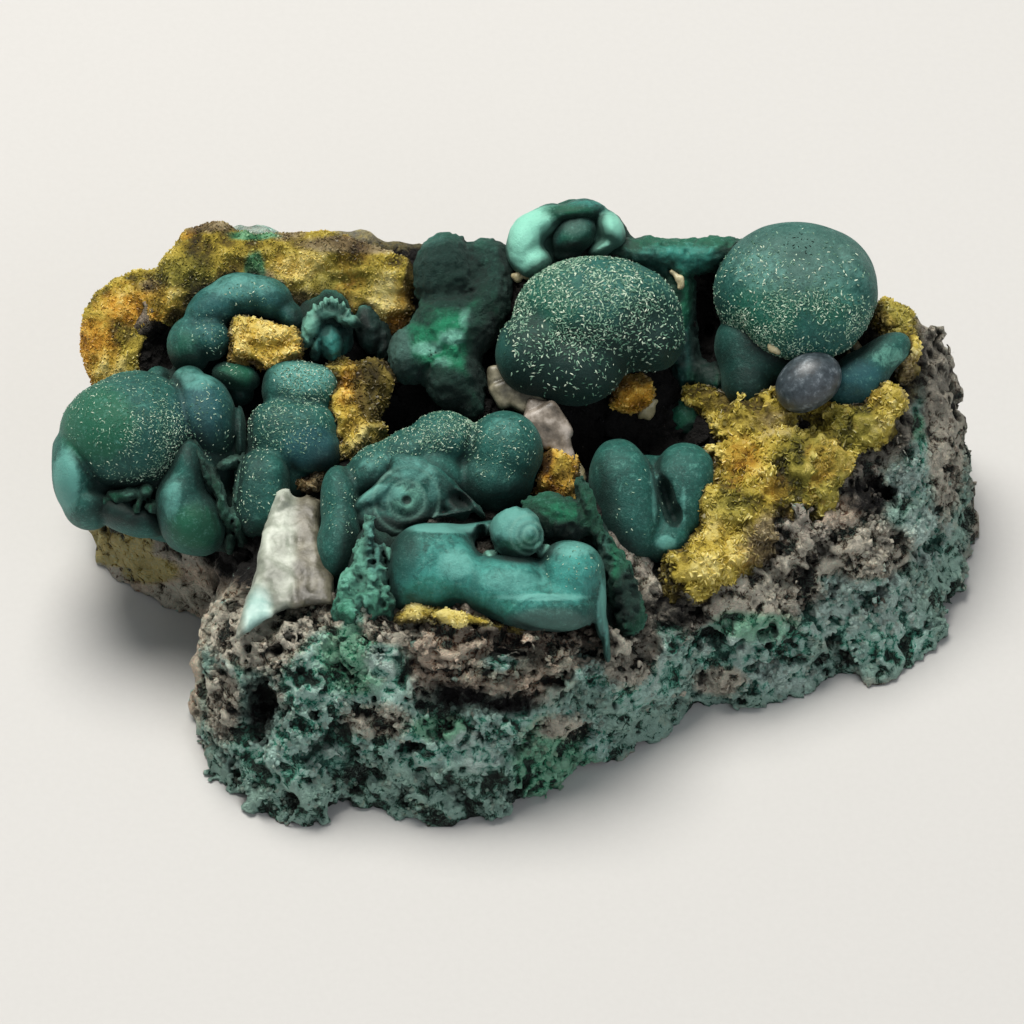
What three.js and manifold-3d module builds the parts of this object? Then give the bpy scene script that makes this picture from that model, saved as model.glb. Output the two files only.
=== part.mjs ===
// Malachite with wulfenite, a hand specimen 100 mm across: a lump of gossan whose display face is
// covered with malachite domes, yellow wulfenite crusts and a few pale crystals.
// Millimetres, +Z up. The specimen lies on a flat cut at z = 0, and its display face leans back at
// 45 degrees, looking forward (-Y) and up. The origin is the point of the cut under the middle.
import * as THREE from "three";
import { mergeVertices } from "three/addons/utils/BufferGeometryUtils.js";
import Module from "manifold-3d";

// Driving dimensions
const FACE_TILT_DEG = 45;      // how far the display face leans back
const RIM_HEIGHT = 22;         // height at which the broken sides reach the rim outline
const EDGE_ROUNDING = 3;       // how softly the sides turn into the display face
const FACE_STEEPNESS = 0.8;    // distance to the display face for each millimetre of height above it
const SOCKET_GAP = 0.3;        // clearance where one mineral meets another
const ROCK_SWELL = 0.8;        // makes up for what the flat facets cut off the curved rock
const CRYSTAL_BEVEL = 0.6;     // bevel on the front and back edges of a slab

// How the rock's facets are spread: rays from around its core are aimed at a plain lump
const ROCK_CORE = new THREE.Vector3(0, 3, 6);
const ROCK_AIM = new THREE.Vector3(50, 31, 27); // half sizes across and deep, and the height
const CORE_SPREAD = 0.5;       // how far out the rays start, as a share of the way to their aim
const AIM_RIM = -0.18;         // on a unit ball, facets above this height go to the display face
const AIM_FOOT = -0.9;         // and those below this one to the underside
const ROCK_DETAIL = 8;         // cuts in each edge of the icosahedron that the rock is drawn from
const LOBE_DETAIL_SIZES = [4.3, 6.8, 99]; // a lobe's edges are cut once more past each half size

// How a surface is found along a ray
const ROCK_REACH = 75;         // further than any point of the rock
const SEAT_START = 45;         // further out of the face than any point of the rock
const SEAT_STEP = 0.1;
const RAY_STEP = 1.5;
const RAY_HALVINGS = 12;

const CUT_BLOCK = 200;         // side of the block that cuts the underside flat
const CUT_DEPTH = 2;           // how much that block takes off

// Colours read by eye from the specimen
const FINISH = {
  gossan: { color: 0x5b4a40, roughness: 0.95 },
  malachite: { color: 0x1f5a55, roughness: 0.5 },
  wulfenite: { color: 0xb08a24, roughness: 0.5 },
  calcite: { color: 0xdcdccf, roughness: 0.4 },
  quartz: { color: 0x8b8378, roughness: 0.4 },
  bead: { color: 0x3c4654, roughness: 0.35 },
};

// Outline of the flat underside, x and y
const FOOT_OUTLINE = [
  [-33.6, -19.3], [-32.6, -23.8], [-27.8, -28.6], [-22.6, -31], [-18, -27.4], [-13, -28.2],
  [-7.1, -31.1], [0.4, -27.7], [7.9, -21.2], [13.3, -18.6], [19.9, -12.6], [29, -12],
  [33.4, -8.4], [40, -8.8], [46.8, -2.2], [49.8, 8], [51, 18], [47.5, 26], [33, 30], [10, 29.5],
  [-12, 30.5], [-30, 31], [-42, 27], [-47.5, 18], [-45.5, 9.5], [-41.5, 5], [-36, 1.5],
  [-31.8, -2], [-33.2, -6], [-34.4, -11],
];

// Outline of the display face at the rim, x and y
const RIM_OUTLINE = [
  [-32.5, -16], [-31, -20.5], [-24, -22.5], [-16, -22.8], [-7, -25], [2, -24.4], [9, -20.5],
  [14, -16.5], [20.5, -11], [28, -7], [35, -1.5], [41.5, 6.5], [45, 14.5], [45.5, 22], [39, 27],
  [25, 28], [5, 28.5], [-15, 29.5], [-30, 30], [-41, 26], [-46.5, 19], [-46, 11], [-40.5, 5],
  [-34.5, 0], [-32.4, -6],
];

// Spot heights of the gossan on the display side: x, y, height
const SPOT_HEIGHTS = [
  [-29, -20, 18], [-24, -20, 18.5], [-16, -20, 21], [-7, -22, 21.5], [1, -22, 21], [7, -19, 18],
  [12, -15, 15], [17, -11, 15], [24, -6, 17], [31, -1, 19], [36, 6, 21], [39, 13, 23],
  [42, 21, 23], [-8, -15, 21], [0, -13, 23], [5, -8, 22.5], [-11, -6, 22], [-19, -9, 20],
  [-8, 2, 23.5], [-14, 0, 22.5], [-2, 1, 21.5], [8, -2, 20], [-24, -12, 17.5], [-24, -3, 18.5],
  [-28, -1, 17], [-34, -4, 12], [-38, 3, 13], [-41, 7, 16], [-44, 13, 17], [-39, 15, 19],
  [-45, 19, 23], [-40, 23, 27], [-35, 16, 24.5], [-29, 20, 28], [-25, 19, 26.5],
  [-27, 16, 25.5], [-30, 13, 22.5], [-23, 11, 23.5], [-24, 6, 20], [-37, 27, 31],
  [-30, 28.5, 34], [-18, 28, 33.5], [-12, 27, 32], [-19, 18, 25], [-14, 18, 21], [-17, 10, 21.5],
  [-12, 10, 17], [-7, 23, 30], [-7, 16, 25.5], [-11, 15, 24], [-6.5, 12, 22], [2, 24, 32],
  [7, 27, 34], [10, 25.5, 33], [9, 16, 25], [8, 7, 17], [14, 6, 17], [4, 5, 21],
  [19, 25, 30.5], [19.4, 22, 26.5], [21, 16, 21], [31, 20, 25], [25, 14, 22], [31, 11, 23],
  [38, 14, 23.5], [36, 24, 26], [27, 27, 30], [12, -1, 16.5], [18, 3, 19], [20, 0, 17],
  [17, -5, 15.5], [23, 6, 20],
];
const SPOT_SOFTNESS = 2.2;     // how far round a spot height the surface stays near it

// Everything on the display face is placed in the face's own axes: across, up the face, and out of it.
// A lobe is an ellipsoid: its middle, its half sizes, and its roll in degrees, counter-clockwise.

// Pits and open ledges in the broken front and right sides of the gossan
const ROCK_HOLLOWS = [
  { at: [-25.6, -6.8, 26], half: [2.3, 3.8, 5] },
  { at: [-1, -5.4, 32], half: [9, 2.4, 3.4] },
  { at: [15.5, 1.4, 21], half: [3, 1.8, 3] },
  { at: [38.6, 14.5, 7.5], half: [3.2, 2.2, 3] },
  { at: [-25, 4, 12], half: [3, 4, 3] },
];

const MALACHITE = {
  malachite_left_dome: {
    lobes: [
      { at: [-42.2, 18.4, 12.7], half: [8, 8.3, 8] },
      { at: [-33.9, 22.3, 12.5], half: [3.7, 5, 4.5], roll: 15 },
      { at: [-35.3, 25.6, 12], half: [2.1, 2.1, 2.4] },
      { at: [-35.2, 12.5, 15], half: [3.7, 5.2, 4.2], roll: 9 },
      { at: [-31.1, 14.6, 14], half: [1, 4.3, 1.8], roll: 4 },
    ],
    hollows: [{ at: [-43.2, 13.2, 20.5], half: [4.8, 1.9, 3.5] }],
  },
  malachite_left_arch: {
    lobes: [
      { at: [-35.2, 30.2, 8], half: [2.6, 3.1, 3.2] },
      { at: [-32.5, 33.8, 7.5], half: [3.6, 2.7, 3], roll: 30 },
      { at: [-28.8, 35.9, 7], half: [3.3, 2.3, 3] },
      { at: [-25.6, 33.8, 7], half: [3, 1.9, 2.6], roll: -38 },
    ],
  },
  malachite_pocket_lump: {
    lobes: [{ at: [-30.3, 26.8, 8], half: [2.9, 2, 2.6] }],
  },
  malachite_twin_lump: {
    lobes: [
      { at: [-22.8, 26.1, 10.5], half: [3.6, 2.6, 3.2] },
      { at: [-24.4, 21.1, 12.5], half: [4.9, 4.3, 4.5] },
      { at: [-27.6, 14.1, 15], half: [2.9, 4.6, 3.6], roll: 5 },
    ],
  },
  malachite_banded_curl: {
    lobes: [
      { at: [-20.4, 34.4, 6], half: [2.8, 1.5, 2.2] },
      { at: [-20.2, 31.2, 5.5], half: [2.6, 3, 2.6] },
      { at: [-16.4, 31.8, 3.5], half: [1.8, 3.3, 2.2] },
    ],
  },
  malachite_tall_column: {
    lobes: [
      { at: [-7.1, 38.2, 6.4], half: [3.7, 4.7, 3.8] },
      { at: [-3.1, 37.5, 5], half: [3, 3.2, 3] },
      { at: [-6.5, 31.8, 8.5], half: [4.9, 4.6, 4] },
      { at: [-11.1, 30.2, 8.5], half: [2.9, 3.9, 3.4] },
      { at: [-6.6, 26, 9], half: [3.4, 3.8, 3.4] },
    ],
  },
  malachite_top_crest: {
    lobes: [
      { at: [1.8, 41.1, 7], half: [3.1, 3.5, 3.2] },
      { at: [6.8, 44, 6.5], half: [4.4, 2.1, 2.6] },
      { at: [6.6, 41.2, 5.5], half: [4.6, 2.6, 2.6] },
      { at: [16.2, 41, 4.8], half: [9.6, 2, 3.2] },
      { at: [19.4, 36, 4.4], half: [2, 6, 3] },
    ],
  },
  malachite_centre_ball: {
    lobes: [
      { at: [8.8, 33.1, 10], half: [9.2, 7, 7] },
      { at: [2.6, 29.7, 12], half: [4.6, 5, 4.8] },
      { at: [7.4, 27.8, 12], half: [4.9, 3.9, 4.4] },
      { at: [14.2, 31.3, 11], half: [4, 3.7, 4.4] },
    ],
  },
  malachite_right_ball: {
    lobes: [
      { at: [31.2, 35.6, 7.5], half: [8.8, 7.6, 7.5] },
      { at: [25.3, 28, 7.5], half: [3.6, 4.2, 4] },
    ],
  },
  malachite_right_leaf: {
    lobes: [{ at: [38.3, 27.7, 8], half: [4.5, 2.4, 2.3], roll: 42 }],
  },
  malachite_bean_pair: {
    lobes: [
      { at: [11.9, 13.3, 14.5], half: [3.9, 7, 4.4], roll: 12 },
      { at: [17.6, 13.4, 13.6], half: [3.6, 5.9, 3.8], roll: -5 },
    ],
    hollows: [{ at: [16.2, 14, 17.4], half: [0.8, 2.6, 2.6], roll: 5 }],
  },
  malachite_front_crescent: {
    lobes: [
      { at: [-2, 18.4, 17], half: [4.7, 4.9, 4.8] },
      { at: [-8.1, 19.5, 17], half: [4.4, 3.6, 4] },
      { at: [-14, 17.7, 17.5], half: [4.2, 2.9, 3.8], roll: 25 },
      { at: [-17.8, 14.7, 18.5], half: [3.3, 4, 3.8] },
      { at: [-18.8, 9, 21.5], half: [2.3, 5.5, 3.5] },
      { at: [-11.6, 13.6, 21.5], half: [4.4, 2.9, 2.6] },
      { at: [-7.6, 14.9, 20.5], half: [2.2, 3, 2.4], roll: 40 },
    ],
  },
  malachite_green_curtain: {
    lobes: [{ at: [4.6, 11.6, 22.6], half: [4.6, 2.6, 3], roll: -15 }],
  },
  malachite_small_ball: {
    lobes: [{ at: [0.1, 9.9, 28], half: [2.9, 3, 2.9], detail: 1 }],
  },
  malachite_front_lobes: {
    lobes: [
      { at: [-7.9, 6.8, 28], half: [5.5, 5, 4.5] },
      { at: [-1.7, 4, 29.3], half: [5.4, 3.4, 3.9] },
      { at: [5.6, 5.3, 27.8], half: [4.2, 4.2, 4.2] },
      { at: [3.1, 1.8, 30.3], half: [5.6, 2.4, 3.2] },
      { at: [10.4, 3.6, 24.5], half: [3.6, 5, 3.6], roll: 8 },
    ],
  },
  malachite_spike: {
    lobes: [
      { at: [-15.8, 7.6, 27.2], half: [1.8, 3.8, 2], detail: 1 },
      { at: [-16.5, 3.6, 28.4], half: [2.9, 3.6, 2.8], detail: 1 },
    ],
  },
};

const DARK_BEAD = {
  dark_bead: { lobes: [{ at: [31.4, 26.3, 10.5], half: [3.8, 3.1, 3], roll: 30 }] },
};

const QUARTZ = {
  quartz_upper: { lobes: [{ at: [1, 24.4, 10.5], half: [3.6, 2.4, 2.2], roll: -10 }] },
  quartz_lower: { lobes: [{ at: [4.1, 20.4, 13], half: [2.1, 3.7, 2.2], roll: 38 }] },
};

// Slabs: an outline across and up the face, how far out its back and front lie, and how much it leans
// back for each millimetre up the face
const CALCITE_SLABS = [
  {
    outline: [[-25.8, 13.9], [-23, 14.4], [-23.3, 2.9], [-26.4, 0.6], [-30, -1.6], [-28.5, 4]],
    out: [22, 30.4], lean: 0.76,
  },
  {
    outline: [[-24, 14.1], [-21.3, 13], [-19.2, 5], [-19.4, 2.4], [-24, 2]],
    out: [21, 28.4], lean: 0.76,
  },
];

// Wulfenite pads and crusts are seated on the rock, so their lobes are placed only across and up the
// face, and rise says how far their middles lie above the rock
const WULFENITE_PADS = {
  wulfenite_pad_left: [{ at: [-27.1, 30.3], half: [4.2, 2.7, 2.6], roll: -8, rise: 0.6 }],
  wulfenite_pad_middle: [
    { at: [-16.8, 25.9], half: [3.1, 2.6, 2.6], rise: 0.3 },
    { at: [-17.2, 21.7], half: [2.2, 3.6, 2.6], rise: 0.3 },
  ],
  wulfenite_pad_knob: [{ at: [4, 16], half: [2.3, 3, 2.6], rise: 1.2 }],
  wulfenite_pad_ball: [{ at: [12.6, 25], half: [2.3, 1.9, 2.4], rise: 1 }],
  wulfenite_crumbs: [{ at: [-22.3, 15.5], half: [2.6, 1.3, 2.2], rise: 0.5 }],
};

const WULFENITE_CRUSTS = {
  wulfenite_left_crust: [
    { at: [-43.8, 29.8], half: [3.2, 5.5, 3], roll: 10 },
    { at: [-41, 35], half: [5.5, 4, 3.2], roll: 15 },
    { at: [-34.8, 39], half: [5, 4.6, 3.6], roll: 25 },
    { at: [-28, 38.9], half: [5.6, 3.6, 3.4] },
    { at: [-21, 37.8], half: [6, 4.2, 3.4] },
    { at: [-14, 36.4], half: [4, 4.8, 3.2], roll: 10 },
  ],
  wulfenite_right_crust: [
    { at: [21.8, 24], half: [4.4, 2.8, 2.8], roll: -15 },
    { at: [26.5, 21.4], half: [5.6, 3.8, 3.2] },
    { at: [34.5, 20.6], half: [5.8, 4.4, 3.2], roll: 30 },
    { at: [28.4, 14.6], half: [6.6, 4.8, 3.4], roll: 25 },
    { at: [23.6, 10.6], half: [4.8, 5.6, 3.4], roll: 10 },
    { at: [19.8, 6.2], half: [5, 4, 3.4], roll: 20 },
  ],
  wulfenite_front_rim: [
    { at: [-8.8, 1.5], half: [4.6, 2.2, 2.8], roll: 12 },
    { at: [-3.4, 0.7], half: [5, 2.2, 2.8], roll: -6 },
  ],
};

const wasm = await Module();
wasm.setup();

const rad = THREE.MathUtils.degToRad;
const FACE = new THREE.Matrix4().makeRotationX(rad(FACE_TILT_DEG));
const OFF_FACE = FACE.clone().invert();

// A geometry with only its positions, and with its shared vertices merged
function mergedPositions(geometry) {
  const bare = new THREE.BufferGeometry()
    .setAttribute("position", geometry.getAttribute("position"));
  if (geometry.index) bare.setIndex(geometry.index);
  return mergeVertices(bare, 1e-4);
}

function solidOf(geometry) {
  const merged = mergedPositions(geometry);
  return new wasm.Manifold(new wasm.Mesh({
    numProp: 3,
    vertProperties: new Float32Array(merged.attributes.position.array),
    triVerts: new Uint32Array(merged.index.array),
  }));
}

function lobeMatrix({ at, roll = 0 }) {
  return FACE.clone()
    .multiply(new THREE.Matrix4().makeTranslation(...at))
    .multiply(new THREE.Matrix4().makeRotationZ(rad(roll)));
}

// An ellipsoid, finer where it is larger, with every half size changed by grow
function lobeSolid(lobe, grow) {
  const half = lobe.half.map((h) => Math.max(h + grow, 0.05));
  const largest = Math.max(...lobe.half);
  const detail = lobe.detail ?? LOBE_DETAIL_SIZES.findIndex((size) => largest < size);
  const ball = new THREE.IcosahedronGeometry(1, detail);
  ball.applyMatrix4(lobeMatrix(lobe).scale(new THREE.Vector3(...half)));
  return solidOf(ball);
}

const joined = (solids) => solids.reduce((all, one) => all.add(one));

function massSolid({ lobes, hollows = [] }, grow) {
  const body = joined(lobes.map((lobe) => lobeSolid(lobe, grow)));
  return hollows.reduce((left, hollow) => left.subtract(lobeSolid(hollow, -grow)), body);
}

// An outline drawn across and up the face, swept out of it
function slabSolid({ outline, out, lean }, grow) {
  const shape = new THREE.Shape(outline.map(([x, y]) => new THREE.Vector2(x, y)));
  const slab = new THREE.ExtrudeGeometry(shape, {
    depth: out[1] - out[0] - 2 * CRYSTAL_BEVEL + 2 * grow,
    bevelThickness: CRYSTAL_BEVEL,
    bevelSize: CRYSTAL_BEVEL,
    bevelOffset: grow - CRYSTAL_BEVEL,
    bevelSegments: 1,
  });
  slab.translate(0, 0, out[0] + CRYSTAL_BEVEL - grow);
  const lowest = Math.min(...outline.map(([, y]) => y));
  const position = slab.getAttribute("position");
  for (let i = 0; i < position.count; i++) {
    position.setZ(i, position.getZ(i) - lean * (position.getY(i) - lowest));
  }
  return solidOf(slab.applyMatrix4(FACE));
}

// Signed distance from a point to a closed outline, negative inside
function outlineDistance(outline, x, y) {
  let nearest = Infinity;
  let inside = false;
  outline.forEach(([ax, ay], i) => {
    const [bx, by] = outline[(i + 1) % outline.length];
    const [ex, ey, wx, wy] = [bx - ax, by - ay, x - ax, y - ay];
    const t = THREE.MathUtils.clamp((wx * ex + wy * ey) / (ex * ex + ey * ey), 0, 1);
    nearest = Math.min(nearest, Math.hypot(wx - t * ex, wy - t * ey));
    if (ay > y !== by > y && x < ax + ((y - ay) / (by - ay)) * ex) inside = !inside;
  });
  return inside ? -nearest : nearest;
}

function topHeight(x, y) {
  let weights = 0;
  let sum = 0;
  for (const [sx, sy, height] of SPOT_HEIGHTS) {
    const near = (x - sx) ** 2 + (y - sy) ** 2 + SPOT_SOFTNESS ** 2;
    const weight = near ** -2;
    weights += weight;
    sum += weight * height;
  }
  return sum / weights;
}

// Larger of two distances, with the corner between them rounded over a width
function smoothMax(a, b, width) {
  const h = THREE.MathUtils.clamp(0.5 + (a - b) / (2 * width), 0, 1);
  return THREE.MathUtils.lerp(b, a, h) + width * h * (1 - h);
}

// Distance to an ellipsoid of the face, near enough for shaping
function lobeDistance(lobe, point) {
  const p = point.clone().applyMatrix4(OFF_FACE).sub(new THREE.Vector3(...lobe.at));
  p.applyAxisAngle(new THREE.Vector3(0, 0, 1), -rad(lobe.roll ?? 0));
  const [a, b, c] = lobe.half;
  const k0 = Math.hypot(p.x / a, p.y / b, p.z / c);
  const k1 = Math.hypot(p.x / a ** 2, p.y / b ** 2, p.z / c ** 2);
  return k1 > 1e-9 ? (k0 * (k0 - 1)) / k1 : -Math.min(a, b, c);
}

// Broad lumps of the broken rock
function lumps(x, y, z) {
  return (
    0.8 * Math.sin(0.62 * x + 0.35 * z + 1.3) * Math.sin(0.55 * y - 0.48 * z + 0.4) +
    0.5 * Math.sin(1.15 * x - 0.6 * y + 2.1) * Math.sin(1.05 * z + 0.5 * y) +
    0.35 * Math.sin(1.9 * y + 0.7 * x) * Math.sin(1.7 * x + 1.4 * z + 0.9)
  );
}

// Signed distance to the specimen's broken rock, negative inside
function rockDistance(p) {
  const rise = THREE.MathUtils.clamp(p.z / RIM_HEIGHT, -0.3, 1.5);
  const side = THREE.MathUtils.lerp(
    outlineDistance(FOOT_OUTLINE, p.x, p.y), outlineDistance(RIM_OUTLINE, p.x, p.y), rise);
  const face = FACE_STEEPNESS * (p.z - topHeight(p.x, p.y));
  let distance = smoothMax(side, face, EDGE_ROUNDING) - lumps(p.x, p.y, p.z) - ROCK_SWELL;
  distance = Math.max(distance, -CUT_DEPTH - p.z);
  for (const hollow of ROCK_HOLLOWS) {
    distance = smoothMax(distance, -lobeDistance(hollow, p), 1);
  }
  return distance;
}

// Where a point of a unit ball lands on a plain lump with a flat top, an upright side and a flat
// underside, with an even spread over each
function aimOf({ x, y, z }) {
  const onTop = Math.sqrt((1 - z) / (1 - AIM_RIM));
  const underneath = Math.sqrt((1 + z) / (1 + AIM_FOOT));
  const radius = Math.min(1, z > AIM_RIM ? onTop : underneath) / Math.max(Math.hypot(x, y), 1e-6);
  const rise = THREE.MathUtils.clamp((z - AIM_FOOT) / (AIM_RIM - AIM_FOOT), 0, 1);
  return new THREE.Vector3(
    ROCK_CORE.x + ROCK_AIM.x * radius * x,
    ROCK_CORE.y + ROCK_AIM.y * radius * y,
    THREE.MathUtils.lerp(-CUT_DEPTH, ROCK_AIM.z, rise));
}

// The rock: an icosahedral ball whose vertices are drawn in along their rays to its surface
function rockSolid(grow) {
  const ball = mergedPositions(new THREE.IcosahedronGeometry(1, ROCK_DETAIL));
  const position = ball.getAttribute("position");
  const point = new THREE.Vector3();
  const isOutside = (p) => rockDistance(p) > grow;
  for (let i = 0; i < position.count; i++) {
    const aim = aimOf(point.fromBufferAttribute(position, i));
    const start = ROCK_CORE.clone().lerp(aim, CORE_SPREAD).setZ(ROCK_CORE.z);
    const ray = aim.sub(start).normalize();
    const at = (reach) => point.copy(start).addScaledVector(ray, reach);
    let inner = ROCK_REACH;
    while (inner > RAY_STEP && isOutside(at(inner))) inner -= RAY_STEP;
    let outer = inner + RAY_STEP;
    for (let halving = 0; halving < RAY_HALVINGS; halving++) {
      const middle = (inner + outer) / 2;
      if (isOutside(at(middle))) outer = middle;
      else inner = middle;
    }
    at(inner);
    position.setXYZ(i, point.x, point.y, point.z);
  }
  return solidOf(ball);
}

const gossan = rockSolid(0);
const gossanSocket = rockSolid(SOCKET_GAP);

const underside = new THREE.BoxGeometry(CUT_BLOCK, CUT_BLOCK, CUT_BLOCK);
underside.translate(0, 0, -CUT_BLOCK / 2);
const underBlock = solidOf(underside);

// A lobe placed across and up the face, with its middle the given rise above the rock
function seated({ at: [across, up], half, roll, rise = 0 }) {
  const point = new THREE.Vector3();
  let out = SEAT_START;
  while (rockDistance(point.set(across, up, out).applyMatrix4(FACE)) > 0) out -= SEAT_STEP;
  return { at: [across, up, out + rise], half, roll, detail: 0 };
}

const largestBody = (solid) => solid.decompose().sort((a, b) => b.volume() - a.volume())[0];

function meshOf(name, solid, finish) {
  const { vertProperties, triVerts, numProp } = solid.getMesh();
  const positions = new Float32Array((vertProperties.length / numProp) * 3);
  for (let i = 0; i < positions.length / 3; i++) {
    positions.set(vertProperties.subarray(i * numProp, i * numProp + 3), i * 3);
  }
  const geometry = new THREE.BufferGeometry()
    .setAttribute("position", new THREE.BufferAttribute(positions, 3))
    .setIndex(new THREE.BufferAttribute(triVerts, 1));
  geometry.computeVertexNormals();
  const mesh = new THREE.Mesh(geometry, new THREE.MeshStandardMaterial(finish));
  mesh.name = name;
  return mesh;
}

// Each growth's shape with some clearance added, and its finish
const growths = {};
function addGrowths(masses, finish) {
  for (const [name, mass] of Object.entries(masses)) {
    growths[name] = { shape: (grow) => massSolid(mass, grow), finish };
  }
}
function addSeatedGrowths(masses, finish) {
  for (const [name, places] of Object.entries(masses)) {
    addGrowths({ [name]: { lobes: places.map(seated) } }, finish);
  }
}
addGrowths(MALACHITE, FINISH.malachite);
addGrowths(DARK_BEAD, FINISH.bead);
addGrowths(QUARTZ, FINISH.quartz);
growths.calcite_crystal = {
  shape: (grow) => joined(CALCITE_SLABS.map((slab) => slabSolid(slab, grow))),
  finish: FINISH.calcite,
};
addSeatedGrowths(WULFENITE_PADS, FINISH.wulfenite);
addSeatedGrowths(WULFENITE_CRUSTS, FINISH.wulfenite);

// Where two growths would overlap, the first keeps its shape and the later one is cut back from it
const specimen = new THREE.Group();
specimen.add(meshOf("gossan_matrix", gossan.subtract(underBlock), FINISH.gossan));
const cutters = [gossanSocket, underBlock];
for (const [name, { shape, finish }] of Object.entries(growths)) {
  const cut = cutters.reduce((left, cutter) => left.subtract(cutter), shape(0));
  specimen.add(meshOf(name, largestBody(cut), finish));
  cutters.push(shape(SOCKET_GAP));
}

export default specimen;
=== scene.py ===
import functools
import itertools
import math
from types import SimpleNamespace

import bmesh
import bpy
import numpy as np
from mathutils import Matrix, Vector


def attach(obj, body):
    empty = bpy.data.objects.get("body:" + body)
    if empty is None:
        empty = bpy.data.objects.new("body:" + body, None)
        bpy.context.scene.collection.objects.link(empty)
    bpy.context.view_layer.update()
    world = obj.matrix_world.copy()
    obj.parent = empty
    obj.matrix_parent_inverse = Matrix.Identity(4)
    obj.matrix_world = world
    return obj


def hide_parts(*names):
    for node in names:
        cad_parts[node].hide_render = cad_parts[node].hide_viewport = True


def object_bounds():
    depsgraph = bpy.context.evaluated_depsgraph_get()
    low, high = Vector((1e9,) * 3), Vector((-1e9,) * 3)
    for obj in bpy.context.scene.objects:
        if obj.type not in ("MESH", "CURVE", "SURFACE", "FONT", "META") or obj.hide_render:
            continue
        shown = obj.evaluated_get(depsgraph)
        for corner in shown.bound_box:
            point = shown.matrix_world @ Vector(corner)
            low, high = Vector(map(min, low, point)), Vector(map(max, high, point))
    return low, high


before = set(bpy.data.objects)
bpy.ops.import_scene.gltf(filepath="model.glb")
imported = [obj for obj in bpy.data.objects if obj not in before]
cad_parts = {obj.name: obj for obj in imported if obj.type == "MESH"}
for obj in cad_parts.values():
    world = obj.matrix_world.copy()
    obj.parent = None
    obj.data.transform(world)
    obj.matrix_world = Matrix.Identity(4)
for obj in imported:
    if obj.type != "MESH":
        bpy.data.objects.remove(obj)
CAD_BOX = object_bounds()

MM = 0.001
HALF_TURN = math.pi
FACE_LEAN = math.sqrt(0.5)     # sine and cosine of the display face's 45 degrees
CORNERS = np.array(list(itertools.product((0, 1), repeat=3)))

# Kinds of node that are used often
MATH = "ShaderNodeMath"
NOISE = "ShaderNodeTexNoise"
RAMP = "ShaderNodeValToRGB"
RANGE = "ShaderNodeMapRange"

# Random tables behind the noise, and the numbers that scramble a place into one of their rows
TABLE_SIZE = 65536
PRIMES = (73856093, 19349663, 83492791)

# Sizes of the skins' grids, in millimetres
GROWTH_STEP = 0.36
FINE_STEP = 0.26
CRUST_STEP = 0.38
ROCK_STEP = 0.34
BACK_STEP = 0.7
BED_STEP = 0.6
CALCITE_STEP = 0.32
STONE_STEP = 0.28
CHIP_STEP = 0.2

# The gossan, as in the part's source
RIM_HEIGHT = 22
EDGE_ROUNDING = 3
FACE_STEEPNESS = 0.8
ROCK_SWELL = 0.35
SPOT_SOFTNESS = 2.2
HOLLOW_ROUNDING = 2
WORN_LUMPS = 0.75     # share of the broad lumps that is worn away at most

# The gossan's two pieces
ROCK_SPACE = ((-51.5, -32.5, 0), (51.5, 32.5, 38))     # corners of the space that holds them
ROCK_SPLIT = -7       # how far out of the face they meet
ROCK_OVERLAP = 0.3
ROCK_TRIANGLES = 190000     # the most that one of them keeps
RELIEF_REACH = 2.5    # how far from the broad form its relief is looked for

# The gossan's broken grain: size and depth of each kind of relief
BEND = (1.7, 0.9)
COARSE_GRAIN = (2.5, 0.55)
FINE_GRAIN = (1, 0.6)
CREST = (1.15, 0.6)
PIT = (2.4, 1.35)
SHEET = (0.9, 0.9)
GRAIN_MIDDLE = 0.45

# The malachite bed between the growths: how far it lies under them, how softly they join in it, and
# how far it stays inside their outlines
BED_DROP = 4.4
BED_BLEND = 1.1
BED_SHRINK = 0.9

RING_WIDTH = 0.16
CREVICE_REACHES = (1, 2.5, 5)     # how far out a surface looks for others that shade it
USUAL_SPECKS = (0.18, 0.44)       # smallest and largest length of the pale crystals

# The pale prism: corners of the space that holds it, its lean, and how far up the face its foot is
CALCITE_SPACE = ((-31, -3, 8), (-18, 15.5, 31))
CALCITE_LEAN = 0.76
CALCITE_FOOT = -1.6

# The hollow of the display side, darkened with painted shade: middle across and up, half sizes
VUG = (0, 27), (46, 16)

# Stains where the photograph doesn't show the gossan: size of a patch, seed, the noise between which
# it fades in, and its most strength
HIDDEN_STAINS = {
    "teal": (7, 41, 0, 0.5, 1), "grains": (5, 42, 0.2, 0.6, 1), "rust": (9, 43, 0.1, 0.6, 1),
    "mint": (4, 44, 0.4, 0.7, 0.7), "emerald": (4, 45, 0.45, 0.8, 0.6), "dark": (5, 46, 0.5, 0.9, 0.5),
    "sage": (6, 47, -0.2, 0.4, 1), "ochre": (6, 48, 0.4, 0.8, 0.5),
}

# Colour kinds of the wulfenite crusts, and how strongly each drifts over a crust where no patch is
CRUST_DRIFT = {"orange": 0.25, "stale": 0.12, "olive": 0.14, "fresh": 0.25, "shade": 0, "green": 0}

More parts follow.
